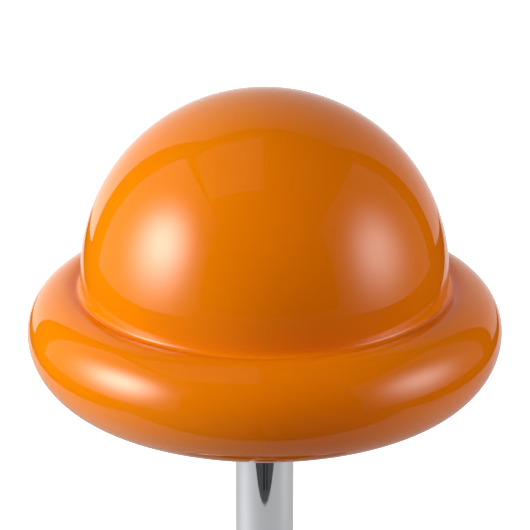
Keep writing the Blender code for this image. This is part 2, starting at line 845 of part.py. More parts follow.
def make_base_bolt():
    turned(
        "bolt_washer",
        ring_profile(BOLT_RADIUS + GAP, WASHER_RADIUS, washer_bottom, washer_bottom + WASHER_THICKNESS),
        SMALL_SIDES,
        "zinc_steel",
    )
    bolt = rod(
        "base_bolt",
        BOLT_HEAD_RADIUS,
        (0, 0, bolt_head_top - BOLT_HEAD_HEIGHT),
        (0, 0, bolt_head_top),
        6,
        "zinc_steel",
    )
    shank = rod(
        "bolt_shank",
        BOLT_RADIUS,
        (0, 0, bolt_head_top - BOLT_HEAD_HEIGHT / 2),
        (0, 0, stem_bottom + LOWER_PLUG_HEIGHT * 0.8),
        SMALL_SIDES,
    )
    join = bolt.modifiers.new("join_shank", "BOOLEAN")
    join.operation = "UNION"
    join.object = shank


# ---------------------------------------------------------------- wiring
def make_cord_bush():
    outer_face = BASE_RADIUS + GAP
    inner_face = BASE_RADIUS - COVER_WALL - 3 * GAP
    bush = turned(
        "cord_bush",
        [
            (CORD_BUSH_BORE, outer_face + CORD_BUSH_FLANGE_THICKNESS),
            (CORD_BUSH_FLANGE - CORD_BUSH_FLANGE_THICKNESS / 2, outer_face + CORD_BUSH_FLANGE_THICKNESS),
            (CORD_BUSH_FLANGE, outer_face + CORD_BUSH_FLANGE_THICKNESS / 2),
            (CORD_BUSH_FLANGE, outer_face),
            (CORD_BUSH_NECK, outer_face),
            (CORD_BUSH_NECK, inner_face),
            (CORD_BUSH_NECK + 3 * GAP, inner_face),
            (CORD_BUSH_NECK, inner_face - CORD_BUSH_TAIL),
            (CORD_BUSH_BORE, inner_face - CORD_BUSH_TAIL),
        ],
        SMALL_SIDES,
        "black_rubber",
    )
    bush.rotation_euler.x = math.radians(-90)
    bush.location.z = CORD_BUSH_HEIGHT


def make_terminal_block():
    width, depth, height = BLOCK_SIZE
    floor = plate_top + GAP
    front, back = BLOCK_DISTANCE - depth / 2, BLOCK_DISTANCE + depth / 2
    body = block(
        "terminal_block", (-width / 2, front, floor), (width / 2, back, floor + height), "white_plastic"
    )
    axis_height = floor + BLOCK_BORE_HEIGHT
    for number, side in enumerate((-1, 1), 1):
        x = side * BLOCK_BORE_SPREAD
        bore = rod(
            f"block_bore_{number}",
            BLOCK_BORE,
            (x, front - depth, axis_height),
            (x, back + depth, axis_height),
            SCREW_SIDES,
        )
        cut(body, bore)
        for end in (-1, 1):
            y = BLOCK_DISTANCE + end * BLOCK_WELL_SPREAD
            well = rod(
                f"block_well_{number}_{'front' if end < 0 else 'back'}",
                BLOCK_WELL_RADIUS,
                (x, y, axis_height + BLOCK_BORE / 2),
                (x, y, floor + 2 * height),
                SCREW_SIDES,
            )
            cut(body, well)
        insert = turned(
            f"terminal_insert_{number}",
            ring_profile(INSERT_BORE, INSERT_RADIUS, -INSERT_LENGTH / 2, INSERT_LENGTH / 2),
            SCREW_SIDES,
            "brass",
        )
        insert.rotation_euler.x = math.radians(90)
        insert.location = (x, BLOCK_DISTANCE, axis_height)


def make_leads():
    leaves_plug = STEM_LEAD_ROUTE[-1]
    nipple_bottom = nipple_nut_top - NIPPLE_NUT_HEIGHT - NIPPLE_TAIL
    climb = nipple_bottom - leaves_plug[2]
    stem_route = [
        *STEM_LEAD_ROUTE,
        *[(0, leaves_plug[1] * out, leaves_plug[2] + climb * up) for out, up in STEM_LEAD_BENDS],
        (0, 0, nipple_bottom),
        (0, 0, holder_bottom),
        (0, 0, holder_bottom + STEM_LEAD_RISE),
    ]
    wire("stem_lead", smooth_route(stem_route, 3), STEM_LEAD_RADIUS, "white_cable")
    wire("switch_lead", smooth_route(SWITCH_LEAD_ROUTE, 3), SWITCH_LEAD_RADIUS, "white_cable")


# ---------------------------------------------------------------- push switch
def make_switch(button_axis):
    body = turned(
        "switch_body",
        [
            (0, SWITCH_BORE_BOTTOM),
            (SWITCH_BORE, SWITCH_BORE_BOTTOM),
            (SWITCH_BORE, neck_top),
            (SWITCH_NECK_RADIUS, neck_top),
            (SWITCH_NECK_RADIUS, SWITCH_BODY_TOP),
            (SWITCH_BODY_RADIUS, SWITCH_BODY_TOP),
            (SWITCH_BODY_RADIUS, SWITCH_BODY_BOTTOM),
            (0, SWITCH_BODY_BOTTOM),
        ],
        SMALL_SIDES,
        "black_bakelite",
        closed=False,
    )
    body.location = switch_place
    bezel_bottom = BASE_HEIGHT + GAP
    bezel_outer = SWITCH_NECK_RADIUS + GAP + BEZEL_WIDTH
    bezel = turned(
        "switch_bezel",
        [
            (SWITCH_NECK_RADIUS + GAP, bezel_bottom + BEZEL_HEIGHT),
            (bezel_outer - BEZEL_HEIGHT / 2, bezel_bottom + BEZEL_HEIGHT),
            (bezel_outer, bezel_bottom + BEZEL_HEIGHT / 2),
            (bezel_outer, bezel_bottom),
            (SWITCH_NECK_RADIUS + GAP, bezel_bottom),
        ],
        SMALL_SIDES,
        "chrome",
    )
    bezel.location = switch_place
    button_top = neck_top + BUTTON_STANDS
    turned(
        "switch_button",
        [
            *arc((0, button_top - BUTTON_CROWN), BUTTON_RADIUS, BUTTON_CROWN, 90, 0, 4),
            (BUTTON_RADIUS, button_bottom),
            (0, button_bottom),
        ],
        SMALL_SIDES,
        "chrome",
        button_axis,
        closed=False,
    ).location = switch_place
    make_spring()


def make_spring():
    """A compression spring between the floor of the switch's bore and the button."""
    bottom = SWITCH_BORE_BOTTOM + GAP + SPRING_WIRE_RADIUS
    top = button_bottom - GAP - SPRING_WIRE_RADIUS
    steps = round(SPRING_TURNS * 12)
    coil = []
    for i in range(steps + 1):
        height = bottom + (top - bottom) * i / steps
        coil.append(switch_place + on_circle(SPRING_COIL_RADIUS, 360 * SPRING_TURNS * i / steps, height))
    wire("switch_spring", coil, SPRING_WIRE_RADIUS, "zinc_steel")


# ---------------------------------------------------------------- lampholder and bulb
def make_lampholder():
    floor = holder_bottom
    split = floor + HOLDER_SPLIT_HEIGHT
    shoulder = floor + HOLDER_SHOULDER_HEIGHT
    neck = floor + HOLDER_NECK_HEIGHT
    inner = HOLDER_RADIUS - HOLDER_WALL
    bore = NIPPLE_RADIUS + GAP
    turned(
        "lampholder_cap",
        [
            (inner, split),
            (HOLDER_RADIUS, split),
            (HOLDER_RADIUS, shoulder),
            (HOLDER_NECK_RADIUS, neck),
            (HOLDER_NECK_RADIUS, floor),
            (bore, floor),
            (bore, floor + NIPPLE_RISE + GAP),
            (inner, shoulder + HOLDER_WALL),
        ],
        TUBE_SIDES,
        "black_bakelite",
    )
    holder_top = floor + HOLDER_HEIGHT
    insert_top = floor + INSERT_BLOCK_TOP
    step = insert_top + 2 * GAP
    flange = floor + HOLDER_FLANGE_HEIGHT
    turned(
        "lampholder_sleeve",
        [
            (HOLDER_LINER_RADIUS, holder_top),
            (HOLDER_RADIUS - HOLDER_WALL / 2, holder_top),
            (HOLDER_RADIUS, holder_top - HOLDER_WALL / 2),
            (HOLDER_RADIUS, flange + HOLDER_FLANGE_THICKNESS),
            (HOLDER_FLANGE_RADIUS, flange + HOLDER_FLANGE_THICKNESS),
            (HOLDER_FLANGE_RADIUS, flange),
            (HOLDER_RADIUS, flange),
            (HOLDER_RADIUS, split + GAP),
            (inner, split + GAP),
            (inner, step),
            (HOLDER_LINER_RADIUS, step),
        ],
        TUBE_SIDES,
        "black_bakelite",
    )
    insert = turned(
        "lampholder_insert",
        [
            (0, insert_top),
            (INSERT_BLOCK_RADIUS, insert_top),
            (INSERT_BLOCK_RADIUS, floor + INSERT_BLOCK_BOTTOM),
            (0, floor + INSERT_BLOCK_BOTTOM),
        ],
        TUBE_SIDES,
        "white_ceramic",
        closed=False,
    )
    for number, side in enumerate((-1, 1), 1):
        x = side * INSERT_BLOCK_HOLE_SPREAD
        core_hole = rod(
            f"core_hole_{number}",
            INSERT_BLOCK_HOLE,
            (x, 0, floor),
            (x, 0, floor + HOLDER_HEIGHT),
            SCREW_SIDES,
        )
        cut(insert, core_hole)
    turned(
        "lampholder_shell",
        ring_profile(SCREW_SHELL_BORE, SCREW_SHELL_RADIUS, insert_top + GAP, floor + SCREW_SHELL_TOP),
        TUBE_SIDES,
        "brass",
    )
    contact_bottom = insert_top + GAP
    turned(
        "lampholder_contact",
        [
            *arc((0, contact_bottom), CENTRE_CONTACT_RADIUS, CENTRE_CONTACT_HEIGHT, 90, 0, 4),
            (0, contact_bottom),
        ],
        SCREW_SIDES,
        "brass",
        closed=False,
    )


def make_bulb(axis):
    tip = bulb_tip
    turned(
        "bulb_contact",
        [
            (0, tip + BULB_TIP_HEIGHT),
            (BULB_TIP_RADIUS, tip + BULB_TIP_HEIGHT),
            (BULB_TIP_RADIUS * 0.6, tip),
            (0, tip),
        ],
        SMALL_SIDES,
        "nickel",
        axis,
        closed=False,
    )
    insulator_bottom = tip + BULB_TIP_HEIGHT + GAP
    turned(
        "bulb_insulator",
        [
            (0, insulator_bottom + BULB_INSULATOR_HEIGHT),
            (BULB_INSULATOR_RADIUS, insulator_bottom + BULB_INSULATOR_HEIGHT),
            (BULB_TIP_RADIUS, insulator_bottom),
            (0, insulator_bottom),
        ],
        SMALL_SIDES,
        "black_bakelite",
        axis,
        closed=False,
    )
    cap_bottom, cap_top = tip + BULB_CAP_BOTTOM + 2 * GAP, tip + BULB_CAP_TOP
    turned(
        "bulb_cap",
        ring_profile(BULB_CAP_RADIUS - BULB_CAP_WALL, BULB_CAP_RADIUS, cap_bottom, cap_top),
        TUBE_SIDES,
        "nickel",
        axis,
    )
    neck = BULB_CAP_RADIUS - BULB_CAP_WALL - GAP
    centre = tip + BULB_LENGTH - BULB_RADIUS
    flare = cap_top + 2 * GAP
    start = -62
    outside = arc((0, centre), BULB_RADIUS, BULB_RADIUS, 90, start, 8)
    outside += [
        (BULB_CAP_RADIUS + BULB_NECK_GROWTH, flare + BULB_RADIUS / 5),
        (BULB_CAP_RADIUS, flare),
        (neck, flare),
        (neck, tip + BULB_NECK_BOTTOM),
    ]
    inner_radius = BULB_RADIUS - BULB_GLASS
    inside = [
        (neck - BULB_GLASS, tip + BULB_NECK_BOTTOM),
        (neck - BULB_GLASS, flare),
        (BULB_CAP_RADIUS + BULB_NECK_GROWTH - BULB_GLASS, flare + BULB_RADIUS / 5),
        *arc((0, centre), inner_radius, inner_radius, start, 90, 8),
    ]
    profile = [(0, outside[0][1]), *outside[1:], *inside[:-1], (0, inside[-1][1])]
    turned("bulb_globe", profile, TUBE_SIDES, "opal_glass", axis, closed=False)


# ---------------------------------------------------------------- the lamp
def shade_round_edges():
    """Smooth shading on curved faces, with creases kept sharp."""
    for obj in lamp_pieces.objects:
        if obj.type == "MESH" and not obj.modifiers:
            obj.data.shade_smooth()
            obj.data.set_sharp_from_angle(angle=math.radians(35))


def build():
    turn_axis = axis_empty("shade_axis", (0, 0, ring_top))
    bulb_axis = axis_empty("bulb_axis", (0, 0, bulb_tip))
    button_axis = axis_empty("button_axis", switch_place)
    make_shade(turn_axis)
    make_shade_seat(turn_axis)
    make_spider()
    make_rivets()
    make_stem()
    make_nipple()
    make_cover()
    make_weight()
    make_plate()
    make_feet()
    make_plate_screws()
    make_base_bolt()
    make_cord_bush()
    make_terminal_block()
    make_leads()
    make_switch(button_axis)
    make_lampholder()
    make_bulb(bulb_axis)
    shade_round_edges()


clear_scene()
lamp_pieces = new_collection("table_lamp")
cutters = new_collection("cutters")
build()
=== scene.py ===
"""The looks of a table lamp: a bowler-hat shade in orange cased glass on a chromed stem."""

import json
import math

import bmesh
import bpy
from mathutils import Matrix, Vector

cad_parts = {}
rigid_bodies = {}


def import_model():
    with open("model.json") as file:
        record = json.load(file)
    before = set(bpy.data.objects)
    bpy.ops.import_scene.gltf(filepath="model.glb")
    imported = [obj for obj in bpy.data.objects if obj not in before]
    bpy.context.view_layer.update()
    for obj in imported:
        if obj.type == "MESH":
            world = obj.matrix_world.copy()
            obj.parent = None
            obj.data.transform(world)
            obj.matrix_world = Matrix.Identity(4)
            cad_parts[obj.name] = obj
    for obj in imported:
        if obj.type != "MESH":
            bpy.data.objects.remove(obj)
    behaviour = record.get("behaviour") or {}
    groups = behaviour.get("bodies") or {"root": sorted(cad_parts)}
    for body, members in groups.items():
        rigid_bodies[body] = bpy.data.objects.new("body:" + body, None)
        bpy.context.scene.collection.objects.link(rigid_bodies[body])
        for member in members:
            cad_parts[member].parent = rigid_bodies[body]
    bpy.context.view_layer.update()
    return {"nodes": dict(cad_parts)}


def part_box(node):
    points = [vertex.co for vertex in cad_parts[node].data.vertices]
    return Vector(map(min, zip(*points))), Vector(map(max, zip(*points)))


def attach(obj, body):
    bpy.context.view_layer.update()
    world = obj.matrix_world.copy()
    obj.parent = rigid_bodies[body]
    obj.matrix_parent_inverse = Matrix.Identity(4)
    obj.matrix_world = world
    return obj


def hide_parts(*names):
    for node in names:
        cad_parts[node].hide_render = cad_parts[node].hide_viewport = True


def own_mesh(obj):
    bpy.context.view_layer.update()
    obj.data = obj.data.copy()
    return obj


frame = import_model()

# ---- sizes read from the frame
shade_low, shade_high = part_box("glass_shade")
ring_low, ring_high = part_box("shade_ring")
gasket_low, gasket_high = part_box("shade_gasket")
spider_low, spider_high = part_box("spider")
stem_low, stem_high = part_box("stem_tube")
plug_low, plug_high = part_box("upper_plug")
cover_low, cover_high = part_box("base_cover")
plate_low, plate_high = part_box("bottom_plate")
bezel_low, bezel_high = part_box("switch_bezel")
button_low, button_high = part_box("switch_button")
bush_low, bush_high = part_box("cord_bush")
holder_low, holder_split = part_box("lampholder_cap")
sleeve_low, sleeve_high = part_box("lampholder_sleeve")
insert_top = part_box("lampholder_insert")[1].z
shell_low, shell_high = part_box("lampholder_shell")
contact_low, contact_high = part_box("lampholder_contact")
globe_low, globe_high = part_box("bulb_globe")
cap_low, cap_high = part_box("bulb_cap")
insulator_low, insulator_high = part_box("bulb_insulator")
tip_low, tip_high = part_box("bulb_contact")

# ---- sizes of the shade
DOME_RADIUS = 0.1235
GLASS_WALL = 0.0035
BRIM_WIDEST_DROP = 0.0402
BRIM_CREST_INSET = 0.0013
BRIM_CREST_DROP = 0.0065
BRIM_UPPER_POWER = 2.07
BRIM_LOWER_POWER = 1.90
CREASE_DROP = 0.0088
CREASE_ROUND = 0.0030
SHOULDER_ROUND = 0.0117
CREASE_END_DEGREES = 290
SHOULDER_END_DEGREES = 70
LIP_CURL_RADIUS = 0.030
LIP_CURL_DEGREES = 30

# ---- sizes of the other pieces
GASKET_WIDTH = 0.005
GASKET_SLOPE = 0.42
RING_SHEET = 0.0015
RING_WIDTH = 0.014
FLANGE_SHEET = 0.0012
HUB_RADIUS = 0.0205
ARM_WIDTH = 0.012
ARM_ANGLES = (90, 210, 330)
RIVET_DISTANCE = 0.1075
RIVET_SHANK = 0.7
RIVET_DOME = 0.0009
PLUG_BORE = 0.0053
PLUG_EDGE = 0.0012
PLUG_NECK_STEP = 0.0018
STEM_WALL = 0.0015
COVER_SHEET = 0.0012
COVER_EDGE = 0.007
COVER_HOLE = 0.0147
SWITCH_HOLE = 0.0082
CORD_HOLE = 0.0062
BUTTON_CROWN = 0.0012
SPRING_WIRE = 0.00035
SPRING_COIL = 0.0037
SPRING_TURNS = 2.5
PLATE_BEAD_RADIUS = 0.055
PLATE_BEAD_WIDTH = 0.003
PLATE_BEAD_DEPTH = 0.0006
PLATE_SCREW_HOLE = 0.0023
PLATE_SCREW_COUNT = 3
FOOT_COUNT = 4
FOOT_RECESS = 0.0003
FOOT_EDGE = 0.0008
SCREW_SHANK = 0.002
SCREW_HEAD_DOME = 0.0011
SCREW_SLOT = (0.0008, 0.0042, 0.0018)
BUSH_BORE = 0.0045
BUSH_NECK = 0.0059
BUSH_BARB = 0.0009
HOLDER_WALL = 0.0018
HOLDER_NECK = 0.0085
HOLDER_FLANGE_RISE = 0.040
SLEEVE_LINER = 0.0152
SHELL_BORE = 0.0139
CAP_WALL = 0.0005
FLUTES = 32
FLUTE_DEPTH = 0.00045
FIT_GAP = 0.0003

dome_centre = Vector((0, 0, shade_high.z - DOME_RADIUS))
brim_radius = shade_high.x
switch_place = Vector((0, (bezel_low.y + bezel_high.y) / 2, 0))
ring_radius = ring_high.x
stem_radius = stem_high.x
base_radius = cover_high.x

# sides of the turned pieces
GLASS_SIDES = 192
TUBE_SIDES = 128
FINE_SIDES = 64
SMALL_SIDES = 32


# ---- modelling helpers
def deselect_everything():
    for obj in bpy.context.view_layer.objects:
        obj.select_set(False)


def make_active(piece):
    deselect_everything()
    piece.select_set(True)
    bpy.context.view_layer.objects.active = piece


def apply_place(piece):
    """Leaves the object at the origin, unturned and unscaled, with its place in its mesh."""
    make_active(piece)
    bpy.ops.object.transform_apply(location=True, rotation=True, scale=True)


def apply_modifiers(piece):
    make_active(piece)
    for modifier in list(piece.modifiers):
        bpy.ops.object.modifier_apply(modifier=modifier.name)


def arc(centre, radius_x, radius_z, start, end, steps, power=2):
    """Points (radius, height) along an ellipse or superellipse, between two angles in degrees."""
    points = []
    for i in range(steps + 1):
        angle = math.radians(start + (end - start) * i / steps)
        across, up = math.cos(angle), math.sin(angle)
        x = math.copysign(abs(across) ** (2 / power), across) * radius_x
        z = math.copysign(abs(up) ** (2 / power), up) * radius_z
        points.append((centre[0] + x, centre[1] + z))
    return points


def close_on_axis(rise):
    """Extrudes the selected ring to one point on the axis."""
    bpy.ops.mesh.extrude_region_move(TRANSFORM_OT_translate={"value": (0, 0, rise)})
    bpy.ops.mesh.merge(type="CENTER")


def turn(name, outline, sides, pole_start=None, pole_end=None, closed=False):
    """Turns an outline of (radius, height) points on a lathe: a circle is extruded from point
    to point.  A pole closes an end on the axis, and a closed outline joins its two ends."""
    radius, height = outline[0]
    deselect_everything()
    bpy.ops.mesh.primitive_circle_add(vertices=sides, radius=radius, location=(0, 0, height))
    piece = bpy.context.object
    piece.name = name
    piece.data.name = name
    apply_place(piece)
    bpy.ops.object.mode_set(mode="EDIT")
    bpy.ops.mesh.select_mode(type="EDGE")
    bpy.ops.mesh.select_all(action="SELECT")
    if pole_start is not None:
        close_on_axis(pole_start - height)
        bpy.ops.mesh.select_all(action="DESELECT")
        bpy.ops.mesh.select_non_manifold()
    for next_radius, next_height in outline[1:]:
        bpy.ops.mesh.extrude_region_move(
            TRANSFORM_OT_translate={"value": (0, 0, next_height - height)}
        )
        share = next_radius / radius
        bpy.ops.transform.resize(value=(share, share, 1), center_override=(0, 0, next_height))
        radius, height = next_radius, next_height
    if pole_end is not None:
        close_on_axis(pole_end - height)
    if closed:
        bpy.ops.mesh.select_all(action="DESELECT")
        bpy.ops.mesh.select_non_manifold()
        bpy.ops.mesh.bridge_edge_loops()
    bpy.ops.mesh.select_all(action="SELECT")
    bpy.ops.mesh.normals_make_consistent(inside=False)
    bpy.ops.object.mode_set(mode="OBJECT")
    return piece


def smooth(piece, degrees=40):
    make_active(piece)
    bpy.ops.object.shade_smooth_by_angle(angle=math.radians(degrees))


def bevel(piece, width, segments=3, degrees=40):
    """Rounds the sharp edges of a piece."""
    modifier = piece.modifiers.new("edge_rounding", "BEVEL")
    modifier.width = width
    modifier.segments = segments
    modifier.limit_method = "ANGLE"
    modifier.angle_limit = math.radians(degrees)
    modifier.harden_normals = False
    apply_modifiers(piece)


def drop_slivers(piece):
    """Clears away faces too thin to see, which joining and rounding can leave."""
    make_active(piece)
    bpy.ops.object.mode_set(mode="EDIT")
    bpy.ops.mesh.select_all(action="SELECT")
    bpy.ops.mesh.dissolve_degenerate(threshold=1e-5)
    bpy.ops.object.mode_set(mode="OBJECT")


def move(piece, place):
    piece.location = place
    apply_place(piece)


def carve(piece, *tools, operation="DIFFERENCE"):
    """Cuts the tools out of a piece, or joins them to it, and throws the tools away."""
    for tool in tools:
        boolean = piece.modifiers.new("carve", "BOOLEAN")
        boolean.operation = operation
        boolean.object = tool
        apply_modifiers(piece)
        bpy.data.objects.remove(tool, do_unlink=True)


def cylinder(name, radius, low, high, sides, along="Z", at=(0, 0)):
    """A plain cylinder, the start of a pin, a hole or a head.  at is its place across the axis."""
    middle = (low + high) / 2
    turned = {"Z": (0, 0, 0), "Y": (math.pi / 2, 0, 0)}[along]
    spot = {"Z": (at[0], at[1], middle), "Y": (at[0], middle, at[1])}[along]
    deselect_everything()
    bpy.ops.mesh.primitive_cylinder_add(
        vertices=sides, radius=radius, depth=high - low, location=spot, rotation=turned
    )
    piece = bpy.context.object
    piece.name = name
    apply_place(piece)
    return piece


def press_in(piece, depth_at):
    """Presses a turned wall toward its axis by the depth that depth_at gives at each point.
    Points of nearly the same depth are gathered and scaled toward the axis together."""
    rings = {}
    for vertex in piece.data.vertices:
        depth = depth_at(*vertex.co)
        if depth > 0:
            share = round(1 - depth / math.hypot(vertex.co.x, vertex.co.y), 3)
            rings.setdefault(share, []).append(vertex.index)
    make_active(piece)
    bpy.ops.object.mode_set(mode="EDIT")
    bpy.ops.mesh.select_mode(type="VERT")
    for share, members in rings.items():
        bpy.ops.mesh.select_all(action="DESELECT")
        points = bmesh.from_edit_mesh(piece.data).verts
        points.ensure_lookup_table()
        for index in members:
            points[index].select_set(True)
        bpy.ops.transform.resize(value=(share, share, 1), center_override=(0, 0, 0))
    bpy.ops.object.mode_set(mode="OBJECT")


def roll_thread(piece, low, high, depth, pitch, least_radius, most_radius):
    """Rolls a round thread into the walls of a turned piece between two heights."""
    run_out = pitch * 0.6

    def depth_at(x, y, z):
        if not (low < z < high and least_radius < math.hypot(x, y) < most_radius):
            return 0
        strength = min(1, (z - low) / run_out, (high - z) / run_out)
        wave = math.cos(2 * math.pi * (z / pitch - math.atan2(y, x) / (2 * math.pi)))
        return depth * strength * (1 - wave) / 2

    press_in(piece, depth_at)


def rows(start, end, step):
    """Heights from start to end, evenly spaced and about a step apart."""
    count = max(1, round(abs(end - start) / step))
    return [start + (end - start) * i / count for i in range(count + 1)]


def fit(piece, material, body, slot, *nodes):
    """Gives a finished piece its material and its place in the frame."""
    piece.data.materials.clear()
    piece.data.materials.append(material)
    if nodes:
        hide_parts(*nodes)
    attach(piece, body)


# ---- material helpers
def new_material(name):
    material = bpy.data.materials.new(name)
    material.use_nodes = True
    nodes = material.node_tree.nodes
    return material, nodes, material.node_tree.links, nodes["Principled BSDF"]


def object_coordinates(nodes, links, scale):
    coordinates = nodes.new("ShaderNodeTexCoord")
    mapping = nodes.new("ShaderNodeMapping")
    mapping.inputs["Scale"].default_value = scale
    links.new(coordinates.outputs["Object"], mapping.inputs["Vector"])
    return mapping.outputs["Vector"]


def noise(nodes, links, vector, scale, detail=4.0, roughness=0.5):
    texture = nodes.new("ShaderNodeTexNoise")
    texture.inputs["Scale"].default_value = scale
    texture.inputs["Detail"].default_value = detail
    texture.inputs["Roughness"].default_value = roughness
    links.new(vector, texture.inputs["Vector"])
    return texture.outputs["Fac"]


def spread(nodes, links, value, low, high, from_low=0.35, from_high=0.65):
    """Spreads a noise over a range."""
    limits = nodes.new("ShaderNodeMapRange")
    limits.inputs["From Min"].default_value = from_low
    limits.inputs["From Max"].default_value = from_high
    limits.inputs["To Min"].default_value = low
    limits.inputs["To Max"].default_value = high
    links.new(value, limits.inputs["Value"])
    return limits.outputs["Result"]


def two_tone(nodes, links, value, first, second, start=0.35, end=0.65):
    ramp = nodes.new("ShaderNodeValToRGB")
    ramp.color_ramp.elements[0].position = start
    ramp.color_ramp.elements[0].color = (*first, 1)
    ramp.color_ramp.elements[1].position = end
    ramp.color_ramp.elements[1].color = (*second, 1)
    links.new(value, ramp.inputs["Fac"])
    return ramp.outputs["Color"]


def bump(nodes, links, shader, height, strength, distance):
    node = nodes.new("ShaderNodeBump")
    node.inputs["Strength"].default_value = strength
    node.inputs["Distance"].default_value = distance
    links.new(height, node.inputs["Height"])
    links.new(node.outputs["Normal"], shader.inputs["Normal"])


# ---- materials
def make_cased_glass():
    """Orange glass cased over opal: a deep, even colour under a fire-polished skin."""
    material, nodes, links, shader = new_material("orange_cased_glass")
    place = object_coordinates(nodes, links, (1, 1, 1))
    clouds = noise(nodes, links, place, 9, 2)
    colour = two_tone(nodes, links, clouds, (0.82, 0.226, 0.0), (0.85, 0.240, 0.0))
    links.new(colour, shader.inputs["Base Color"])
    ripple = noise(nodes, links, object_coordinates(nodes, links, (1, 1, 2.2)), 16, 1.5)
    bump(nodes, links, shader, ripple, 0.06, 0.0025)
    gloss = spread(nodes, links, noise(nodes, links, place, 60, 3), 0.02, 0.045)
    links.new(gloss, shader.inputs["Roughness"])
    shader.inputs["IOR"].default_value = 1.5
    return material


def make_chrome():
    material, nodes, links, shader = new_material("polished_chrome")
    place = object_coordinates(nodes, links, (1, 1, 1))
    clouds = noise(nodes, links, place, 14, 3)
    colour = two_tone(nodes, links, clouds, (0.885, 0.91, 0.94), (0.915, 0.935, 0.96))
    links.new(colour, shader.inputs["Base Color"])
    haze = spread(nodes, links, noise(nodes, links, place, 45, 5), 0.025, 0.06)
    links.new(haze, shader.inputs["Roughness"])
    brush = noise(nodes, links, object_coordinates(nodes, links, (600, 600, 40)), 1, 2)
    bump(nodes, links, shader, brush, 0.015, 0.0001)
    shader.inputs["Metallic"].default_value = 1.0
    return material


def make_metal(name, dark, light, rough, scale=60, grain=0.05):
    material, nodes, links, shader = new_material(name)
    place = object_coordinates(nodes, links, (1, 1, 1))
    clouds = noise(nodes, links, place, scale, 5)
    links.new(two_tone(nodes, links, clouds, dark, light), shader.inputs["Base Color"])
    links.new(spread(nodes, links, clouds, rough[0], rough[1]), shader.inputs["Roughness"])
    fine = noise(nodes, links, place, scale * 25, 3)
    bump(nodes, links, shader, fine, grain, 0.0002)
    shader.inputs["Metallic"].default_value = 1.0
    return material


def make_solid(name, dark, light, rough, scale=80, grain=0.05, depth=0.0003, **uniform):
    material, nodes, links, shader = new_material(name)
    place = object_coordinates(nodes, links, (1, 1, 1))
    clouds = noise(nodes, links, place, scale, 4)
    links.new(two_tone(nodes, links, clouds, dark, light), shader.inputs["Base Color"])
    links.new(spread(nodes, links, clouds, rough[0], rough[1]), shader.inputs["Roughness"])
    fine = noise(nodes, links, place, scale * 12, 3)
    bump(nodes, links, shader, fine, grain, depth)
    for socket, value in uniform.items():
        shader.inputs[socket.replace("_", " ")].default_value = value
    return material


# ---- shade
def shade_outline():
    """The glass's outer surface, from near the top of the dome to the lip."""
    crest = DOME_RADIUS - BRIM_CREST_INSET
    widest = dome_centre.z - BRIM_WIDEST_DROP
    crest_height = dome_centre.z - BRIM_CREST_DROP
    crease = Vector((DOME_RADIUS + CREASE_ROUND, dome_centre.z - CREASE_DROP + CREASE_ROUND))
    crease_end = math.radians(CREASE_END_DEGREES)
    step_out = Vector((math.cos(crease_end), math.sin(crease_end)))
    shoulder = crease + step_out * (CREASE_ROUND + SHOULDER_ROUND)
    points = arc((0, dome_centre.z), DOME_RADIUS, DOME_RADIUS, 88.5, 0, 60)
    points += arc(crease, CREASE_ROUND, CREASE_ROUND, 180, CREASE_END_DEGREES, 9)
    points += arc(shoulder, SHOULDER_ROUND, SHOULDER_ROUND, 105, 75, 5)
    points += arc(
        (crest, widest),
        brim_radius - crest,
        crest_height - widest,
        SHOULDER_END_DEGREES,
        0,
        28,
        BRIM_UPPER_POWER,
    )
    points += arc(
        (DOME_RADIUS, widest),
        brim_radius - DOME_RADIUS,
        widest - shade_low.z,
        -4,
        -90,
        30,
        BRIM_LOWER_POWER,
    )
    curl_centre = (DOME_RADIUS, shade_low.z + LIP_CURL_RADIUS)
    points += arc(curl_centre, LIP_CURL_RADIUS, LIP_CURL_RADIUS, -90, -90 - LIP_CURL_DEGREES, 10)[1:]
    return points


def eased(points, passes):
    """Evens out an outline so that no two of its arcs meet in a kink."""
    for _ in range(passes):
        inner = []
        for before, here, after in zip(points, points[1:], points[2:]):
            inner.append(tuple((b + 2 * h + a) / 4 for b, h, a in zip(before, here, after)))
        points = [points[0], *inner, points[-1]]
    return points


def make_shade(glass):
    shade = turn("shade_glass", eased(shade_outline(), 3), GLASS_SIDES, pole_start=shade_high.z)
    wall = shade.modifiers.new("glass_wall", "SOLIDIFY")
    wall.thickness = GLASS_WALL
    wall.offset = -1
    wall.use_even_offset = True
    apply_modifiers(shade)
    bevel(shade, 0.0015, 4, 60)
    smooth(shade, 50)
    fit(shade, glass, "shade", "orange_cased_glass", "glass_shade")
    return shade


def make_gasket(silicone):
    """A ring whose outer edge slopes down, where the curled lip of the glass leans on it."""
    outer = gasket_high.x
    inner = outer - GASKET_WIDTH
    low, high = gasket_low.z, gasket_high.z
    slope = (high - low) * GASKET_SLOPE
    gasket = turn(
        "lip_gasket",
        [(inner, low), (outer, low), (outer, high - slope), (inner, high)],
        TUBE_SIDES,
        closed=True,
    )
    bevel(gasket, 0.0006, 3)
    smooth(gasket)
    fit(gasket, silicone, "shade", "clear_silicone", "shade_gasket")


# ---- ring, spider, rivets
def make_ring(chrome):
    """A flat sheet ring with an upturned inner flange."""
    inner = ring_radius - RING_WIDTH
    flange = inner + FLANGE_SHEET
    low, high = ring_low.z, ring_high.z
    seat = low + RING_SHEET
    ring = turn(
        "carrying_ring",
        [
            (inner, high),
            (flange, high),
            (flange, seat),
            (ring_radius, seat),
            (ring_radius, low),
            (inner, low),
        ],
        GLASS_SIDES,
        closed=True,
    )
    bevel(ring, 0.0005, 3)
    smooth(ring)
    fit(ring, chrome, "lamp", "chrome", "shade_ring")


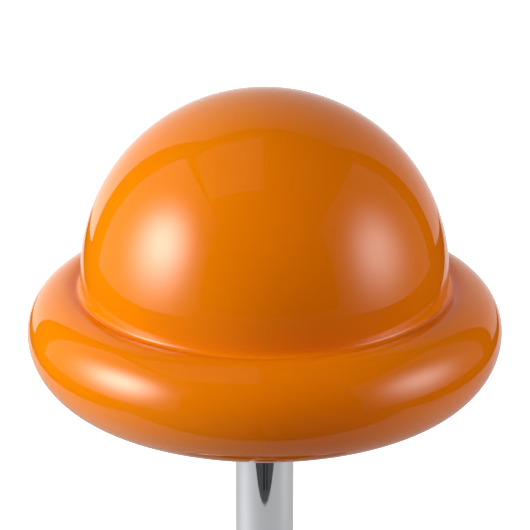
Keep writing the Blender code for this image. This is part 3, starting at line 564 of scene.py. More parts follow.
def make_spider(chrome):
    bottom, top = spider_low.z, spider_high.z
    hub = cylinder("spider_arms", HUB_RADIUS, bottom, top, FINE_SIDES)
    for angle in ARM_ANGLES:
        carve(hub, make_arm(angle, bottom, top), operation="UNION")
    bevel(hub, 0.0005, 2, 50)
    drop_slivers(hub)
    smooth(hub)
    fit(hub, chrome, "lamp", "chrome", "spider")


def make_rivet(number, nickel):
    """A rivet with a domed head at each end."""
    low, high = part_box(f"ring_rivet_{number}")
    middle = (low + high) / 2
    head = (high.x - low.x) / 2
    shank = head * RIVET_SHANK
    rivet = turn(
        f"arm_rivet_{number}",
        [
            *arc((0, high.z - RIVET_DOME), head, RIVET_DOME, 72, 0, 6),
            (shank, high.z - RIVET_DOME),
            (shank, low.z + RIVET_DOME),
            *arc((0, low.z + RIVET_DOME), head, RIVET_DOME, 0, -72, 6),
        ],
        SMALL_SIDES,
        pole_start=high.z,
        pole_end=low.z,
    )
    move(rivet, (middle.x, middle.y, 0))
    smooth(rivet)
    fit(rivet, nickel, "lamp", "nickel", f"ring_rivet_{number}")


def make_upper_plug(chrome):
    """The plug's head covers the stem's end, and its neck goes into the bore."""
    top, under_head = plug_high.z, stem_high.z + FIT_GAP
    edge_centre = (stem_radius - PLUG_EDGE, top - PLUG_EDGE)
    neck = stem_radius - PLUG_NECK_STEP
    plug = turn(
        "stem_plug",
        [
            (PLUG_BORE, top),
            (stem_radius - PLUG_EDGE, top),
            *arc(edge_centre, PLUG_EDGE, PLUG_EDGE, 80, 0, 5),
            (stem_radius, under_head),
            (neck, under_head),
            (neck, plug_low.z),
            (PLUG_BORE, plug_low.z),
        ],
        TUBE_SIDES,
        closed=True,
    )
    smooth(plug)
    fit(plug, chrome, "lamp", "chrome", "upper_plug")


def make_arm(angle, bottom, top):
    """A flat arm with a round end, out from the hub."""
    deselect_everything()
    bpy.ops.mesh.primitive_cube_add(
        size=1,
        location=(RIVET_DISTANCE / 2, 0, (bottom + top) / 2),
        scale=(RIVET_DISTANCE, ARM_WIDTH, top - bottom),
    )
    arm = bpy.context.object
    apply_place(arm)
    end = cylinder("arm_end", ARM_WIDTH / 2, bottom, top, FINE_SIDES, at=(RIVET_DISTANCE, 0))
    carve(arm, end, operation="UNION")
    arm.rotation_euler.z = math.radians(angle)
    apply_place(arm)
    return arm


# ---- stem and base
def make_stem(chrome):
    bore = stem_radius - STEM_WALL
    stem = turn(
        "chromed_stem",
        [
            *[(stem_radius, height) for height in rows(stem_high.z, stem_low.z, 0.02)],
            (bore, stem_low.z),
            (bore, stem_high.z),
        ],
        TUBE_SIDES,
        closed=True,
    )
    bevel(stem, 0.0003, 2)
    smooth(stem)
    fit(stem, chrome, "lamp", "chrome", "stem_tube")


def make_cover(chrome):
    top, low = cover_high.z, cover_low.z
    corner = (base_radius - COVER_EDGE, top - COVER_EDGE)
    inner_edge = COVER_EDGE - COVER_SHEET
    half_sheet = COVER_SHEET / 2
    flat_end = base_radius - COVER_EDGE - 0.002
    cover = turn(
        "base_shell",
        [
            (COVER_HOLE, top),
            *[(radius, top) for radius in rows(COVER_HOLE + 0.01, flat_end, 0.02)],
            *arc(corner, COVER_EDGE, COVER_EDGE, 90, 0, 14),
            (base_radius, low + 0.001),
            *arc((base_radius - half_sheet, low + half_sheet), half_sheet, half_sheet, 0, -180, 6),
            *arc(corner, inner_edge, inner_edge, 0, 90, 10),
            (COVER_HOLE, top - COVER_SHEET),
        ],
        GLASS_SIDES,
        closed=True,
    )
    switch_hole = cylinder(
        "hole", SWITCH_HOLE, top - 0.01, top + 0.01, FINE_SIDES, at=(switch_place.x, switch_place.y)
    )
    cord_hole = cylinder(
        "hole",
        CORD_HOLE,
        base_radius - 0.01,
        base_radius + 0.01,
        FINE_SIDES,
        along="Y",
        at=(0, (bush_low.z + bush_high.z) / 2),
    )
    carve(cover, switch_hole, cord_hole)
    smooth(cover, 35)
    fit(cover, chrome, "lamp", "chrome", "base_cover")


def make_switch_collar(chrome):
    low, high = bezel_low.z, bezel_high.z
    outer = (bezel_high.x - bezel_low.x) / 2
    inner_edge, outer_edge = 0.0006, 0.0014
    collar = turn(
        "switch_collar",
        [
            (SWITCH_HOLE, low),
            *arc((SWITCH_HOLE + inner_edge, high - inner_edge), inner_edge, inner_edge, 180, 90, 4),
            *arc((outer - outer_edge, high - outer_edge), outer_edge, outer_edge, 90, 0, 8),
            (outer, low),
        ],
        FINE_SIDES,
        closed=True,
    )
    move(collar, switch_place)
    smooth(collar)
    fit(collar, chrome, "lamp", "chrome", "switch_bezel")


def make_button(chrome):
    """A push button with a low crown."""
    radius = (button_high.x - button_low.x) / 2
    crown_height = button_high.z - BUTTON_CROWN
    chamfer = 0.0003
    button = turn(
        "push_button",
        [
            *arc((0, crown_height), radius, BUTTON_CROWN, 84, 12, 14),
            (radius, crown_height - BUTTON_CROWN / 2),
            (radius, button_low.z + chamfer),
            (radius - chamfer, button_low.z),
        ],
        FINE_SIDES,
        pole_start=button_high.z,
        pole_end=button_low.z,
    )
    move(button, switch_place)
    smooth(button)
    fit(button, chrome, "button", "chrome", "switch_button")


def make_button_spring(zinc):
    """A coil of wire between the floor of the switch's bore and the button, which squeezes it."""
    low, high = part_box("switch_spring")
    height = high.z - low.z
    steps = round(32 * SPRING_TURNS)
    deselect_everything()
    bpy.ops.mesh.primitive_circle_add(
        vertices=12,
        radius=SPRING_WIRE,
        location=(SPRING_COIL, 0, low.z + SPRING_WIRE),
        rotation=(math.pi / 2, 0, 0),
    )
    spring = bpy.context.object
    spring.name = "button_spring"
    apply_place(spring)
    winding = spring.modifiers.new("winding", "SCREW")
    winding.angle = SPRING_TURNS * 2 * math.pi
    winding.screw_offset = height - 2 * SPRING_WIRE
    winding.steps = steps
    winding.render_steps = steps
    apply_modifiers(spring)
    bpy.ops.object.mode_set(mode="EDIT")
    bpy.ops.mesh.select_all(action="SELECT")
    bpy.ops.mesh.fill_holes(sides=0)
    bpy.ops.mesh.select_all(action="SELECT")
    bpy.ops.mesh.normals_make_consistent(inside=False)
    bpy.ops.object.mode_set(mode="OBJECT")
    move(spring, switch_place)
    smooth(spring, 50)
    fit(spring, zinc, "lamp", "zinc_steel", "switch_spring")
    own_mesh(spring)


def make_bottom_plate(enamel):
    """A sheet plate with a raised bead pressed into it and a hole for each screw."""
    rim = plate_high.x
    low, high = plate_low.z, plate_high.z
    bead_centre = (PLATE_BEAD_RADIUS + PLATE_BEAD_WIDTH, low)
    inner_ring, outer_ring = 0.030, 0.088
    chamfer = 0.0004
    plate = turn(
        "base_plate",
        [
            (inner_ring, low),
            (PLATE_BEAD_RADIUS, low),
            *arc(bead_centre, PLATE_BEAD_WIDTH, PLATE_BEAD_DEPTH, 180, 0, 8),
            (outer_ring, low),
            (rim - chamfer, low),
            (rim, low + chamfer),
            (rim, high),
            (PLATE_BEAD_RADIUS, high),
            (inner_ring, high),
        ],
        TUBE_SIDES,
        pole_start=low,
        pole_end=high,
    )
    for number in range(1, PLATE_SCREW_COUNT + 1):
        screw_low, screw_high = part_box(f"plate_screw_{number}")
        middle = (screw_low + screw_high) / 2
        hole = cylinder(
            "hole", PLATE_SCREW_HOLE, low - 0.01, high + 0.01, SMALL_SIDES, at=(middle.x, middle.y)
        )
        carve(plate, hole)
    smooth(plate, 30)
    fit(plate, enamel, "lamp", "black_steel", "bottom_plate")


def make_foot(number, rubber):
    """A round foot with a shallow recess in its underside."""
    low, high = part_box(f"rubber_foot_{number}")
    radius = (high.x - low.x) / 2
    recess = low.z + FOOT_RECESS
    edge_centre = (radius - FOOT_EDGE, low.z + FOOT_EDGE)
    foot = turn(
        f"moulded_foot_{number}",
        [
            (radius * 0.45, recess),
            (radius * 0.50, recess),
            (radius * 0.55, low.z),
            (radius - FOOT_EDGE - 0.0006, low.z),
            *arc(edge_centre, FOOT_EDGE, FOOT_EDGE, -90, 0, 5),
            (radius, high.z),
        ],
        SMALL_SIDES,
        pole_start=recess,
        pole_end=high.z,
    )
    middle = (low + high) / 2
    move(foot, (middle.x, middle.y, 0))
    smooth(foot)
    fit(foot, rubber, "lamp", "black_rubber", f"rubber_foot_{number}")


def make_plate_screw(number, zinc):
    """A screw with a low domed head, a crossed recess and a rolled thread."""
    low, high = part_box(f"plate_screw_{number}")
    head = (high.x - low.x) / 2
    head_top = plate_low.z - FIT_GAP
    shank = rows(head_top + 0.0004, high.z - 0.0012, 0.0002)
    screw = turn(
        f"cover_screw_{number}",
        [
            *arc((0, low.z + SCREW_HEAD_DOME), head, SCREW_HEAD_DOME, -80, 0, 8),
            (head, head_top),
            (SCREW_SHANK, head_top),
            *[(SCREW_SHANK, height) for height in shank],
            (0.0014, high.z),
        ],
        SMALL_SIDES,
        pole_start=low.z,
        pole_end=high.z,
    )
    roll_thread(screw, head_top + 0.0006, high.z - 0.0006, 0.0003, 0.0007, 0.0012, 0.0021)
    width, length, depth = SCREW_SLOT
    for across, along in ((width, length), (length, width)):
        deselect_everything()
        bpy.ops.mesh.primitive_cube_add(size=1, location=(0, 0, low.z), scale=(across, along, depth))
        recess = bpy.context.object
        apply_place(recess)
        carve(screw, recess)
    middle = (low + high) / 2
    move(screw, (middle.x, middle.y, 0))
    smooth(screw)
    fit(screw, zinc, "lamp", "zinc_steel", f"plate_screw_{number}")


def make_cord_bush(rubber):
    """The bush is turned upright, with its outer face up, and then laid into the back of the base."""
    flange = (bush_high.x - bush_low.x) / 2
    outer, wall = bush_high.y, base_radius + FIT_GAP
    tail = bush_low.y
    inside = base_radius - COVER_SHEET - BUSH_BARB
    bore_edge, flange_edge = 0.0006, 0.0012
    bush = turn(
        "cord_grommet",
        [
            *arc((BUSH_BORE + bore_edge, outer - bore_edge), bore_edge, bore_edge, 180, 90, 4),
            *arc((flange - flange_edge, outer - flange_edge), flange_edge, flange_edge, 90, 0, 6),
            (flange, wall),
            (BUSH_NECK, wall),
            (BUSH_NECK, inside),
            (BUSH_NECK + BUSH_BARB, inside),
            (BUSH_NECK, tail),
            (BUSH_BORE, tail),
        ],
        FINE_SIDES,
        closed=True,
    )
    bush.rotation_euler.x = math.radians(-90)
    bush.location.z = (bush_low.z + bush_high.z) / 2
    apply_place(bush)
    smooth(bush)
    fit(bush, rubber, "lamp", "black_rubber", "cord_bush")


# ---- lampholder
def make_holder_cap(bakelite):
    """The lower half of the holder: a cup on a narrow neck."""
    floor, split = holder_low.z, holder_split.z
    radius = holder_split.x
    inner = radius - HOLDER_WALL
    neck_top, shoulder = floor + 0.009, floor + 0.020
    cap = turn(
        "holder_cap",
        [
            (inner, split),
            (radius, split),
            (radius, shoulder + 0.002),
            (radius - 0.0010, shoulder - 0.0008),
            (HOLDER_NECK + 0.0014, neck_top + 0.0016),
            (HOLDER_NECK, neck_top - 0.0012),
            (HOLDER_NECK, floor + 0.0005),
            (HOLDER_NECK - 0.0005, floor),
            (PLUG_BORE, floor),
            (PLUG_BORE, floor + 0.0118),
            (inner, shoulder + HOLDER_WALL),
        ],
        TUBE_SIDES,
        closed=True,
    )
    press_flutes(cap, shoulder + 0.003, split - 0.001, radius)
    smooth(cap, 30)
    fit(cap, bakelite, "lamp", "black_bakelite", "lampholder_cap")


def make_holder_sleeve(bakelite):
    """The upper half: a sleeve with a flange, a thread for a shade ring above it, and a liner."""
    radius = holder_split.x
    inner = radius - HOLDER_WALL
    top, low = sleeve_high.z, sleeve_low.z
    rim = sleeve_high.x
    flange = holder_low.z + HOLDER_FLANGE_RISE
    flange_top = flange + 0.0025
    chamfer = 0.0005
    step = insert_top + 0.0006
    thread_start = flange + 0.0035
    sleeve = turn(
        "holder_sleeve",
        [
            (SLEEVE_LINER, top),
            (radius - 0.0012, top),
            *[(radius, height) for height in rows(top - 0.0012, thread_start, 0.00035)],
            (radius, flange_top),
            (rim - chamfer, flange_top),
            (rim, flange_top - chamfer),
            (rim, flange + chamfer),
            (rim - chamfer, flange),
            (radius, flange),
            (radius, low),
            (inner, low),
            (inner, step),
            (SLEEVE_LINER, step),
        ],
        TUBE_SIDES,
        closed=True,
    )
    roll_thread(sleeve, thread_start, top - 0.0008, 0.0009, 0.0028, radius - 0.002, radius + 0.001)
    press_flutes(sleeve, low + 0.001, flange - 0.001, radius)
    smooth(sleeve, 35)
    fit(sleeve, bakelite, "lamp", "black_bakelite", "lampholder_sleeve")


def make_holder_shell(brass):
    radius, bore = shell_high.x, SHELL_BORE + 0.0002
    shell = turn(
        "threaded_shell",
        [
            *[(radius, height) for height in rows(shell_high.z, shell_low.z, 0.0004)],
            *[(bore, height) for height in rows(shell_low.z, shell_high.z, 0.0004)],
        ],
        FINE_SIDES,
        closed=True,
    )
    smooth(shell, 50)
    fit(shell, brass, "lamp", "brass", "lampholder_shell")


def make_holder_contact(brass):
    contact = turn(
        "centre_contact",
        arc((0, contact_low.z), contact_high.x, contact_high.z - contact_low.z, 80, 0, 8),
        SMALL_SIDES,
        pole_start=contact_high.z,
        pole_end=contact_low.z,
    )
    smooth(contact)
    fit(contact, brass, "lamp", "brass", "lampholder_contact")


def press_flutes(piece, low, high, radius):
    """Presses grip flutes into a round wall between two heights."""
    deselect_everything()
    make_active(piece)
    bpy.ops.object.mode_set(mode="EDIT")
    bpy.ops.mesh.select_all(action="SELECT")
    for height in (low, high):
        bpy.ops.mesh.bisect(plane_co=(0, 0, height), plane_no=(0, 0, 1))
        bpy.ops.mesh.select_all(action="SELECT")
    bpy.ops.object.mode_set(mode="OBJECT")

    def depth_at(x, y, z):
        on_wall = abs(math.hypot(x, y) - radius) < 1e-5
        if not (on_wall and low - 1e-5 <= z <= high + 1e-5):
            return 0
        return FLUTE_DEPTH * (0.5 - 0.5 * math.cos(FLUTES * math.atan2(y, x)))

    press_in(piece, depth_at)


# ---- bulb
def make_bulb_glass(opal):
    """A globe on a short neck that goes down into the cap."""
    radius = globe_high.x
    centre = globe_high.z - radius
    cap_radius = cap_high.x
    flare = cap_high.z + 0.0006
    neck = cap_radius - 0.0008
    outside = [
        *arc((0, centre), radius, radius, 87, -58, 40),
        (cap_radius + 0.0022, flare + 0.0075),
        (cap_radius + 0.0010, flare + 0.0038),
        (cap_radius + 0.0002, flare + 0.0010),
        (cap_radius, flare),
        (neck, flare),
        (neck, globe_low.z),
    ]
    globe = turn("bulb_glass", outside, FINE_SIDES, pole_start=globe_high.z, pole_end=globe_low.z)
    smooth(globe, 50)
    fit(globe, opal, "bulb", "opal_glass", "bulb_globe")


def make_bulb_cap(nickel):
    radius = cap_high.x
    inner = radius - CAP_WALL - 0.0001
    cap = turn(
        "bulb_screw_cap",
        [
            *[(radius, height) for height in rows(cap_high.z, cap_low.z, 0.0004)],
            *[(inner, height) for height in rows(cap_low.z, cap_high.z, 0.0004)],
        ],
        FINE_SIDES,
        closed=True,
    )
    smooth(cap, 50)
    fit(cap, nickel, "bulb", "nickel", "bulb_cap")


def make_bulb_insulator(bakelite):
    """A dished disc between the cap and the tip."""
    radius = insulator_high.x
    insulator = turn(
        "cap_insulator",
        [
            (radius, insulator_high.z),
            (radius, insulator_high.z - 0.0004),
            (radius * 0.80, insulator_low.z + 0.0014),
            (radius * 0.50, insulator_low.z + 0.0002),
            (tip_high.x, insulator_low.z),
        ],
        FINE_SIDES,
        pole_start=insulator_high.z,
        pole_end=insulator_low.z,
    )
    smooth(insulator, 50)
    fit(insulator, bakelite, "bulb", "black_bakelite", "bulb_insulator")


def make_bulb_tip(nickel):
    """A blob of solder."""
    radius = tip_high.x
    blob_top = tip_high.z - 0.0004
    tip = turn(
        "solder_tip",
        [
            (radius, tip_high.z),
            (radius, tip_high.z - 0.0003),
            *arc((0, blob_top), radius * 0.92, blob_top - tip_low.z, 0, -78, 8),
        ],
        SMALL_SIDES,
        pole_start=tip_high.z,
        pole_end=tip_low.z,
    )
    smooth(tip, 50)
    fit(tip, nickel, "bulb", "nickel", "bulb_contact")


# ---- nodes kept from the frame
KEPT_FINISH = {
    "lower_plug": "zinc",
    "nipple": "zinc",
    "nipple_nut": "zinc",
    "base_weight": "iron",
    "base_bolt": "zinc",
    "bolt_washer": "zinc",
    "terminal_block": "white_plastic",
    "terminal_insert_1": "brass",
    "terminal_insert_2": "brass",
    "stem_lead": "sheath",
    "switch_lead": "sheath",
    "switch_body": "bakelite",
    "lampholder_insert": "ceramic",
}


def finish_kept_nodes(finishes):
    for name, node in frame["nodes"].items():
        if node.hide_render:
            continue
        node.data.materials.clear()
        node.data.materials.append(finishes[KEPT_FINISH[name]])


# ---- studio
CAMERA_DISTANCE = 1.7425
CAMERA_ELEVATION = 21.92
CAMERA_LENS = 176.6
AIM_OFFSET = Vector((0.0002, 0, 0.0042))
SCRIM_DISTANCE = 1.5
SWEEP_DISTANCE = 1.4
# (share of the edge, brightness)
SWEEP_BOTTOM_TO_TOP = [(0.0, 0.90), (0.08, 0.86), (0.17, 0.72), (0.34, 0.52), (0.55, 0.36), (1.0, 0.10)]
SWEEP_LEFT_TO_RIGHT = [(0.0, 1.65), (0.5, 1.0), (1.0, 0.66)]
TABLE_SIDES = (-0.56, 0.66)
TABLE_FRONT = -0.322
# painted light and shade on the table sheet: dimmer at the front and round the lamp, where its shade
# falls, brighter toward the back and to the left
TABLE_FRONT_TO_BACK = [(0.0, 0.44), (0.20, 0.47), (0.40, 0.53), (0.55, 0.75), (0.70, 0.88), (1.0, 0.92)]
TABLE_LEFT_TO_RIGHT = [(0.0, 1.2), (0.4, 1.0), (1.0, 0.85)]
# painted pools of light on the table sheet, left and right of the lamp: (centre, size, brightness)
TABLE_LIGHT_POOLS = [((0.24, 0.17), (0.12, 0.07), 0.24), ((0.78, 0.17), (0.10, 0.06), 0.12)]
# (azimuth, width)
TRIPOD_LEGS = [(-2.6, 0.030), (8.6, 0.022)]
FLOOR_DROP = 0.001
FILL_FROM = Vector((-0.20, 0.50, 0.80))
GLOW_FROM = Vector((0.72, -0.47, -0.25))
GLOW_STRENGTH = 1.45


def add_camera():
    data = bpy.data.cameras.new("camera")
    data.lens = CAMERA_LENS
    data.sensor_width = 36
    data.clip_end = 50
    camera = bpy.data.objects.new("camera", data)
    bpy.context.scene.collection.objects.link(camera)
    rise = math.radians(CAMERA_ELEVATION)
    camera.location = dome_centre + CAMERA_DISTANCE * Vector((0, -math.cos(rise), math.sin(rise)))
    aim = dome_centre + AIM_OFFSET
    camera.rotation_euler = (aim - camera.location).to_track_quat("-Z", "Y").to_euler()
    bpy.context.scene.camera = camera


def emission_material(name, strength):
    material = bpy.data.materials.new(name)
    material.use_nodes = True
    nodes, links = material.node_tree.nodes, material.node_tree.links
    nodes.clear()
    emission = nodes.new("ShaderNodeEmission")
    emission.inputs["Strength"].default_value = strength
    output = nodes.new("ShaderNodeOutputMaterial")
    links.new(emission.outputs["Emission"], output.inputs["Surface"])
    return material, nodes, links, emission


def scaled(nodes, links, value, factor):
    node = nodes.new("ShaderNodeMath")
    node.operation = "MULTIPLY"
    node.inputs[1].default_value = factor
    links.new(value, node.inputs[0])
    return node.outputs["Value"]


def bell(nodes, links, centre, size, height):
    """A glow over a card, brightest at its centre.  Places and sizes are shares of the card."""
    coordinates = nodes.new("ShaderNodeTexCoord")
    mapping = nodes.new("ShaderNodeMapping")
    mapping.inputs["Location"].default_value = (-centre[0] / size[0], -centre[1] / size[1], 0)
    mapping.inputs["Scale"].default_value = (1 / size[0], 1 / size[1], 0)
    links.new(coordinates.outputs["UV"], mapping.inputs["Vector"])
    square = nodes.new("ShaderNodeVectorMath")
    square.operation = "DOT_PRODUCT"
    links.new(mapping.outputs["Vector"], square.inputs[0])
    links.new(mapping.outputs["Vector"], square.inputs[1])
    halved = scaled(nodes, links, square.outputs["Value"], -0.5)
    fall = nodes.new("ShaderNodeMath")
    fall.operation = "EXPONENT"
    links.new(halved, fall.inputs[0])
    return scaled(nodes, links, fall.outputs["Value"], height)


def fade(nodes, links, axis, stops):
    """Brightness along one edge of a card, as (share of the edge, brightness) stops."""
    coordinates = nodes.new("ShaderNodeTexCoord")
    split = nodes.new("ShaderNodeSeparateXYZ")
    links.new(coordinates.outputs["UV"], split.inputs["Vector"])
    most = max(level for _, level in stops)
    ramp = nodes.new("ShaderNodeValToRGB")
    elements = ramp.color_ramp.elements
    while len(elements) < len(stops):
        elements.new(0.5)
    for element, (share, level) in zip(elements, stops):
        element.position = share
        element.color = (level / most, level / most, level / most, 1)
    links.new(split.outputs[axis], ramp.inputs["Fac"])
    return scaled(nodes, links, ramp.outputs["Color"], most)


def joined(nodes, links, operation, first, second):
    node = nodes.new("ShaderNodeMath")
    node.operation = operation
    links.new(first, node.inputs[0])
    links.new(second, node.inputs[1])
    return node.outputs["Value"]


def stage_card(name, width, height, place, turned, material):
    """A card that lights the lamp and shows in its reflections, but not to the camera."""
    deselect_everything()
    bpy.ops.mesh.primitive_plane_add(size=1, location=place, rotation=turned)
    obj = bpy.context.object
    obj.name = name
    obj.scale = (width, height, 1)
    obj.data.materials.append(material)
    obj.visible_camera = False
    obj.visible_shadow = False
    return obj


def panel_place(azimuth, distance, across, height):
    """A place on an upright panel.  Azimuth 0 is the camera's side of the lamp, 90 its right."""
    a = math.radians(azimuth)
    ahead = Vector((math.sin(a), -math.cos(a), 0)) * distance
    along = Vector((-math.cos(a), -math.sin(a), 0)) * across
    return ahead + along + Vector((0, 0, height))


def add_scrim(name, azimuth, before, after, top, hot_spot, hot_size, peak, dim):
    """An upright cloth with a lamp behind it.  Angles are in degrees, seen from the lamp: the cloth
    reaches from before to after its azimuth and up to top, and is brightest at the hot spot."""
    distance = SCRIM_DISTANCE
    near_end = -distance * math.tan(math.radians(after))
    far_end = distance * math.tan(math.radians(before))
    width = far_end - near_end
    height = dome_centre.z + distance * math.tan(math.radians(top))
    hot_across = -distance * math.tan(math.radians(hot_spot[0] - azimuth))
    hot_height = dome_centre.z + distance * math.tan(math.radians(hot_spot[1]))
    material, nodes, links, emission = emission_material(name, 1)
    centre = ((hot_across - near_end) / width, hot_height / height)
    size = (hot_size[0] * distance / width, hot_size[1] * distance / height)
    glow = bell(nodes, links, centre, size, peak)
    total = joined(nodes, links, "ADD", glow, fade(nodes, links, "X", dim))
    links.new(total, emission.inputs["Strength"])
    place = panel_place(azimuth, distance, (near_end + far_end) / 2, height / 2)
    turned = (math.pi / 2, 0, math.radians(azimuth - 180))
    stage_card(name, width, height, place, turned, material)


def add_table():
    """The white sheet the lamp stands on, seen only in reflections, with its light and shade painted into
    its glow: dimmer at the front and round the lamp, where the lamp's shade falls, brighter toward the
    back and to the left, and two pools of light.
    """
    left, right = TABLE_SIDES
    back = SWEEP_DISTANCE
    material, nodes, links, emission = emission_material("table_sheet", 1)
    # painted shade at the front and round the lamp, and painted light that is brighter toward the back and
    # the left
    along = fade(nodes, links, "Y", TABLE_FRONT_TO_BACK)
    across = fade(nodes, links, "X", TABLE_LEFT_TO_RIGHT)
    total = joined(nodes, links, "MULTIPLY", along, across)
    # painted pools of light added onto the sheet's glow
    for centre, size, brightness in TABLE_LIGHT_POOLS:
        light_pool = bell(nodes, links, centre, size, brightness)
        total = joined(nodes, links, "ADD", total, light_pool)
    links.new(total, emission.inputs["Strength"])
    place = ((left + right) / 2, (TABLE_FRONT + back) / 2, -3 * FLOOR_DROP)
    stage_card("table_sheet", right - left, back - TABLE_FRONT, place, (0, 0, 0), material)


def add_dark_floor():
    """The floor before the table, with two black tripod legs on it."""
    depth = 3
    dark = emission_material("dark_floor", 0.06)[0]
    place = (0, TABLE_FRONT - depth / 2, -5 * FLOOR_DROP)
    stage_card("dark_floor", 5, depth, place, (0, 0, 0), dark)
    black = emission_material("tripod_leg", 0.004)[0]
    for number, (azimuth, width) in enumerate(TRIPOD_LEGS, 1):
        leg = panel_place(azimuth, 1.0, 0, -4 * FLOOR_DROP)
        stage_card(f"tripod_leg_{number}", width, 1.3, leg, (0, 0, math.radians(azimuth)), black)


def add_sweep():
    """The paper that rises behind the lamp, brighter low down and toward the left."""
    material, nodes, links, emission = emission_material("paper_sweep", 1)
    up = fade(nodes, links, "Y", SWEEP_BOTTOM_TO_TOP)
    across = fade(nodes, links, "X", SWEEP_LEFT_TO_RIGHT)
    links.new(joined(nodes, links, "MULTIPLY", up, across), emission.inputs["Strength"])
    left = -SWEEP_DISTANCE * math.tan(math.radians(44))
    right = SWEEP_DISTANCE * math.tan(math.radians(49))
    height = dome_centre.z + SWEEP_DISTANCE * math.tan(math.radians(62))
    place = ((left + right) / 2, SWEEP_DISTANCE, height / 2)
    stage_card("paper_sweep", right - left, height, place, (math.pi / 2, 0, 0), material)


def add_ceiling():
    """A dim patch of ceiling over the left scrim."""
    material = emission_material("ceiling_bounce", 0.17)[0]
    place = dome_centre + Vector((-0.75, 0, 2.3))
    stage_card("ceiling_bounce", 1.4, 1.6, place, (math.pi, 0, 0), material)


def add_floor():
    """A white floor that glows enough to stay white, with a soft shadow close to the lamp."""
    material, nodes, links, shader = new_material("white_floor")
    coordinates = nodes.new("ShaderNodeTexCoord")
    distance = nodes.new("ShaderNodeVectorMath")
    distance.operation = "LENGTH"
    links.new(coordinates.outputs["Object"], distance.inputs[0])
    glow = spread(nodes, links, distance.outputs["Value"], 0.62, 1.02, 0.10, 0.42)
    links.new(glow, shader.inputs["Emission Strength"])
    shader.inputs["Emission Color"].default_value = (1, 1, 1, 1)
    shader.inputs["Roughness"].default_value = 1
    shader.inputs["Specular IOR Level"].default_value = 0
    shader.inputs["Base Color"].default_value = (0.8, 0.8, 0.8, 1)
    deselect_everything()
    bpy.ops.mesh.primitive_plane_add(size=16, location=(0, 0, -FLOOR_DROP))
    floor = bpy.context.object
    floor.name = "floor"
    floor.data.materials.append(material)
    floor.visible_diffuse = False
    floor.visible_glossy = False
    floor.visible_shadow = False


def add_world():
    """White to the camera, near black in reflections, and on dull surfaces a soft fill from behind."""
    world = bpy.data.worlds.new("studio")
    bpy.context.scene.world = world
    world.use_nodes = True
    nodes, links = world.node_tree.nodes, world.node_tree.links
    background = nodes["Background"]
    path = nodes.new("ShaderNodeLightPath")
    fill = nodes.new("ShaderNodeMix")
    fill.data_type = "RGBA"
    fill.inputs["A"].default_value = (0.008, 0.008, 0.008, 1)
    coordinates = nodes.new("ShaderNodeTexCoord")
    toward = nodes.new("ShaderNodeVectorMath")
    toward.operation = "DOT_PRODUCT"
    toward.inputs[1].default_value = FILL_FROM.normalized()
    links.new(coordinates.outputs["Generated"], toward.inputs[0])
    level = spread(nodes, links, toward.outputs["Value"], 0.06, 0.36, 0.0, 1.0)
    links.new(level, fill.inputs["B"])
    links.new(path.outputs["Is Diffuse Ray"], fill.inputs["Factor"])
    seen = nodes.new("ShaderNodeMix")
    seen.data_type = "RGBA"
    links.new(fill.outputs["Result"], seen.inputs["A"])
    seen.inputs["B"].default_value = (1, 1, 1, 1)
    links.new(path.outputs["Is Camera Ray"], seen.inputs["Factor"])
    links.new(seen.outputs["Result"], background.inputs["Color"])


def add_glass_glow(shade):
    """The light that spreads inside the glass to its dark side: a soft red light on it alone."""
    data = bpy.data.lights.new("glass_glow", "SUN")
    data.energy = GLOW_STRENGTH
    data.color = (1, 0, 0)
    data.angle = math.radians(165)
    glow = bpy.data.objects.new("glass_glow", data)
    glow.rotation_euler = GLOW_FROM.to_track_quat("Z", "Y").to_euler()
    glow.visible_glossy = False
    bpy.context.scene.collection.objects.link(glow)
    lit = bpy.data.collections.new("lit_by_glow")
    lit.objects.link(shade)
    glow.light_linking.receiver_collection = lit


def add_studio(shade):
    bpy.context.scene.view_settings.view_transform = "Standard"
    add_world()
    add_scrim(
        "left_scrim",
        azimuth=-82,
        before=38,
        after=44,
        top=55,
        hot_spot=(-70, 22),
        hot_size=(0.24, 0.26),
        peak=12.4,
        dim=[(0.0, 0.10), (0.5, 0.26), (1.0, 0.50)],
    )
    add_scrim(
        "right_scrim",
        azimuth=83,
        before=40,
        after=36,
        top=50,
        hot_spot=(75, 17),
        hot_size=(0.22, 0.24),
        peak=4.9,
        dim=[(0.0, 0.20), (1.0, 0.12)],
    )
    add_sweep()
    add_ceiling()
    add_table()
    add_dark_floor()
    add_floor()
    add_glass_glow(shade)


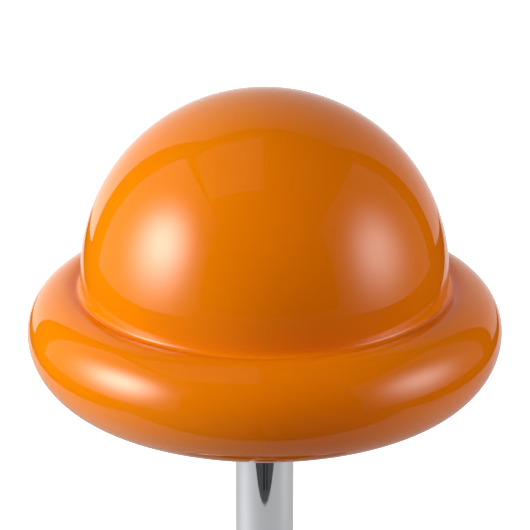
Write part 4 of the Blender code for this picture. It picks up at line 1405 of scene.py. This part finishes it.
# ---- the lamp
glass = make_cased_glass()
chrome = make_chrome()
silicone = make_solid(
    "clear_silicone", (0.70, 0.70, 0.67), (0.78, 0.78, 0.76), (0.3, 0.42), Transmission_Weight=0.4
)
nickel = make_metal("nickel_plate", (0.60, 0.58, 0.53), (0.70, 0.68, 0.62), (0.14, 0.26))
zinc = make_metal("zinc_plate", (0.48, 0.50, 0.52), (0.62, 0.62, 0.60), (0.25, 0.42))
brass = make_metal("bright_brass", (0.66, 0.47, 0.18), (0.78, 0.58, 0.25), (0.16, 0.3))
iron = make_metal("cast_iron", (0.06, 0.06, 0.062), (0.11, 0.105, 0.1), (0.55, 0.8), 90, 0.6)
enamel = make_solid("black_enamel", (0.018, 0.018, 0.019), (0.03, 0.03, 0.031), (0.32, 0.5), 120, 0.15)
rubber = make_solid("moulded_rubber", (0.016, 0.016, 0.016), (0.03, 0.029, 0.028), (0.65, 0.85), 90, 0.25)
bakelite = make_solid("bakelite", (0.022, 0.019, 0.017), (0.036, 0.031, 0.028), (0.16, 0.28), 70, 0.04)
ceramic = make_solid("glazed_ceramic", (0.80, 0.79, 0.74), (0.88, 0.87, 0.83), (0.12, 0.25), 60, 0.05)
opal = make_solid(
    "opal_glass", (0.88, 0.87, 0.83), (0.93, 0.92, 0.89), (0.1, 0.16), 30, 0.02, Coat_Weight=0.5
)
sheath = make_solid("cable_sheath", (0.74, 0.74, 0.71), (0.82, 0.82, 0.79), (0.42, 0.55), 120, 0.1)
white_plastic = make_solid("white_plastic", (0.78, 0.78, 0.75), (0.85, 0.85, 0.82), (0.32, 0.45), 90, 0.06)

add_camera()
shade = make_shade(glass)
make_gasket(silicone)
make_ring(chrome)
make_spider(chrome)
for rivet_number in range(1, len(ARM_ANGLES) + 1):
    make_rivet(rivet_number, nickel)
make_upper_plug(chrome)
make_stem(chrome)
make_cover(chrome)
make_switch_collar(chrome)
make_button(chrome)
make_button_spring(zinc)
make_bottom_plate(enamel)
for foot_number in range(1, FOOT_COUNT + 1):
    make_foot(foot_number, rubber)
for screw_number in range(1, PLATE_SCREW_COUNT + 1):
    make_plate_screw(screw_number, zinc)
make_cord_bush(rubber)
make_holder_cap(bakelite)
make_holder_sleeve(bakelite)
make_holder_shell(brass)
make_holder_contact(brass)
make_bulb_glass(opal)
make_bulb_cap(nickel)
make_bulb_insulator(bakelite)
make_bulb_tip(nickel)
finish_kept_nodes(
    {
        "zinc": zinc,
        "iron": iron,
        "white_plastic": white_plastic,
        "brass": brass,
        "sheath": sheath,
        "bakelite": bakelite,
        "ceramic": ceramic,
    }
)
add_studio(shade)
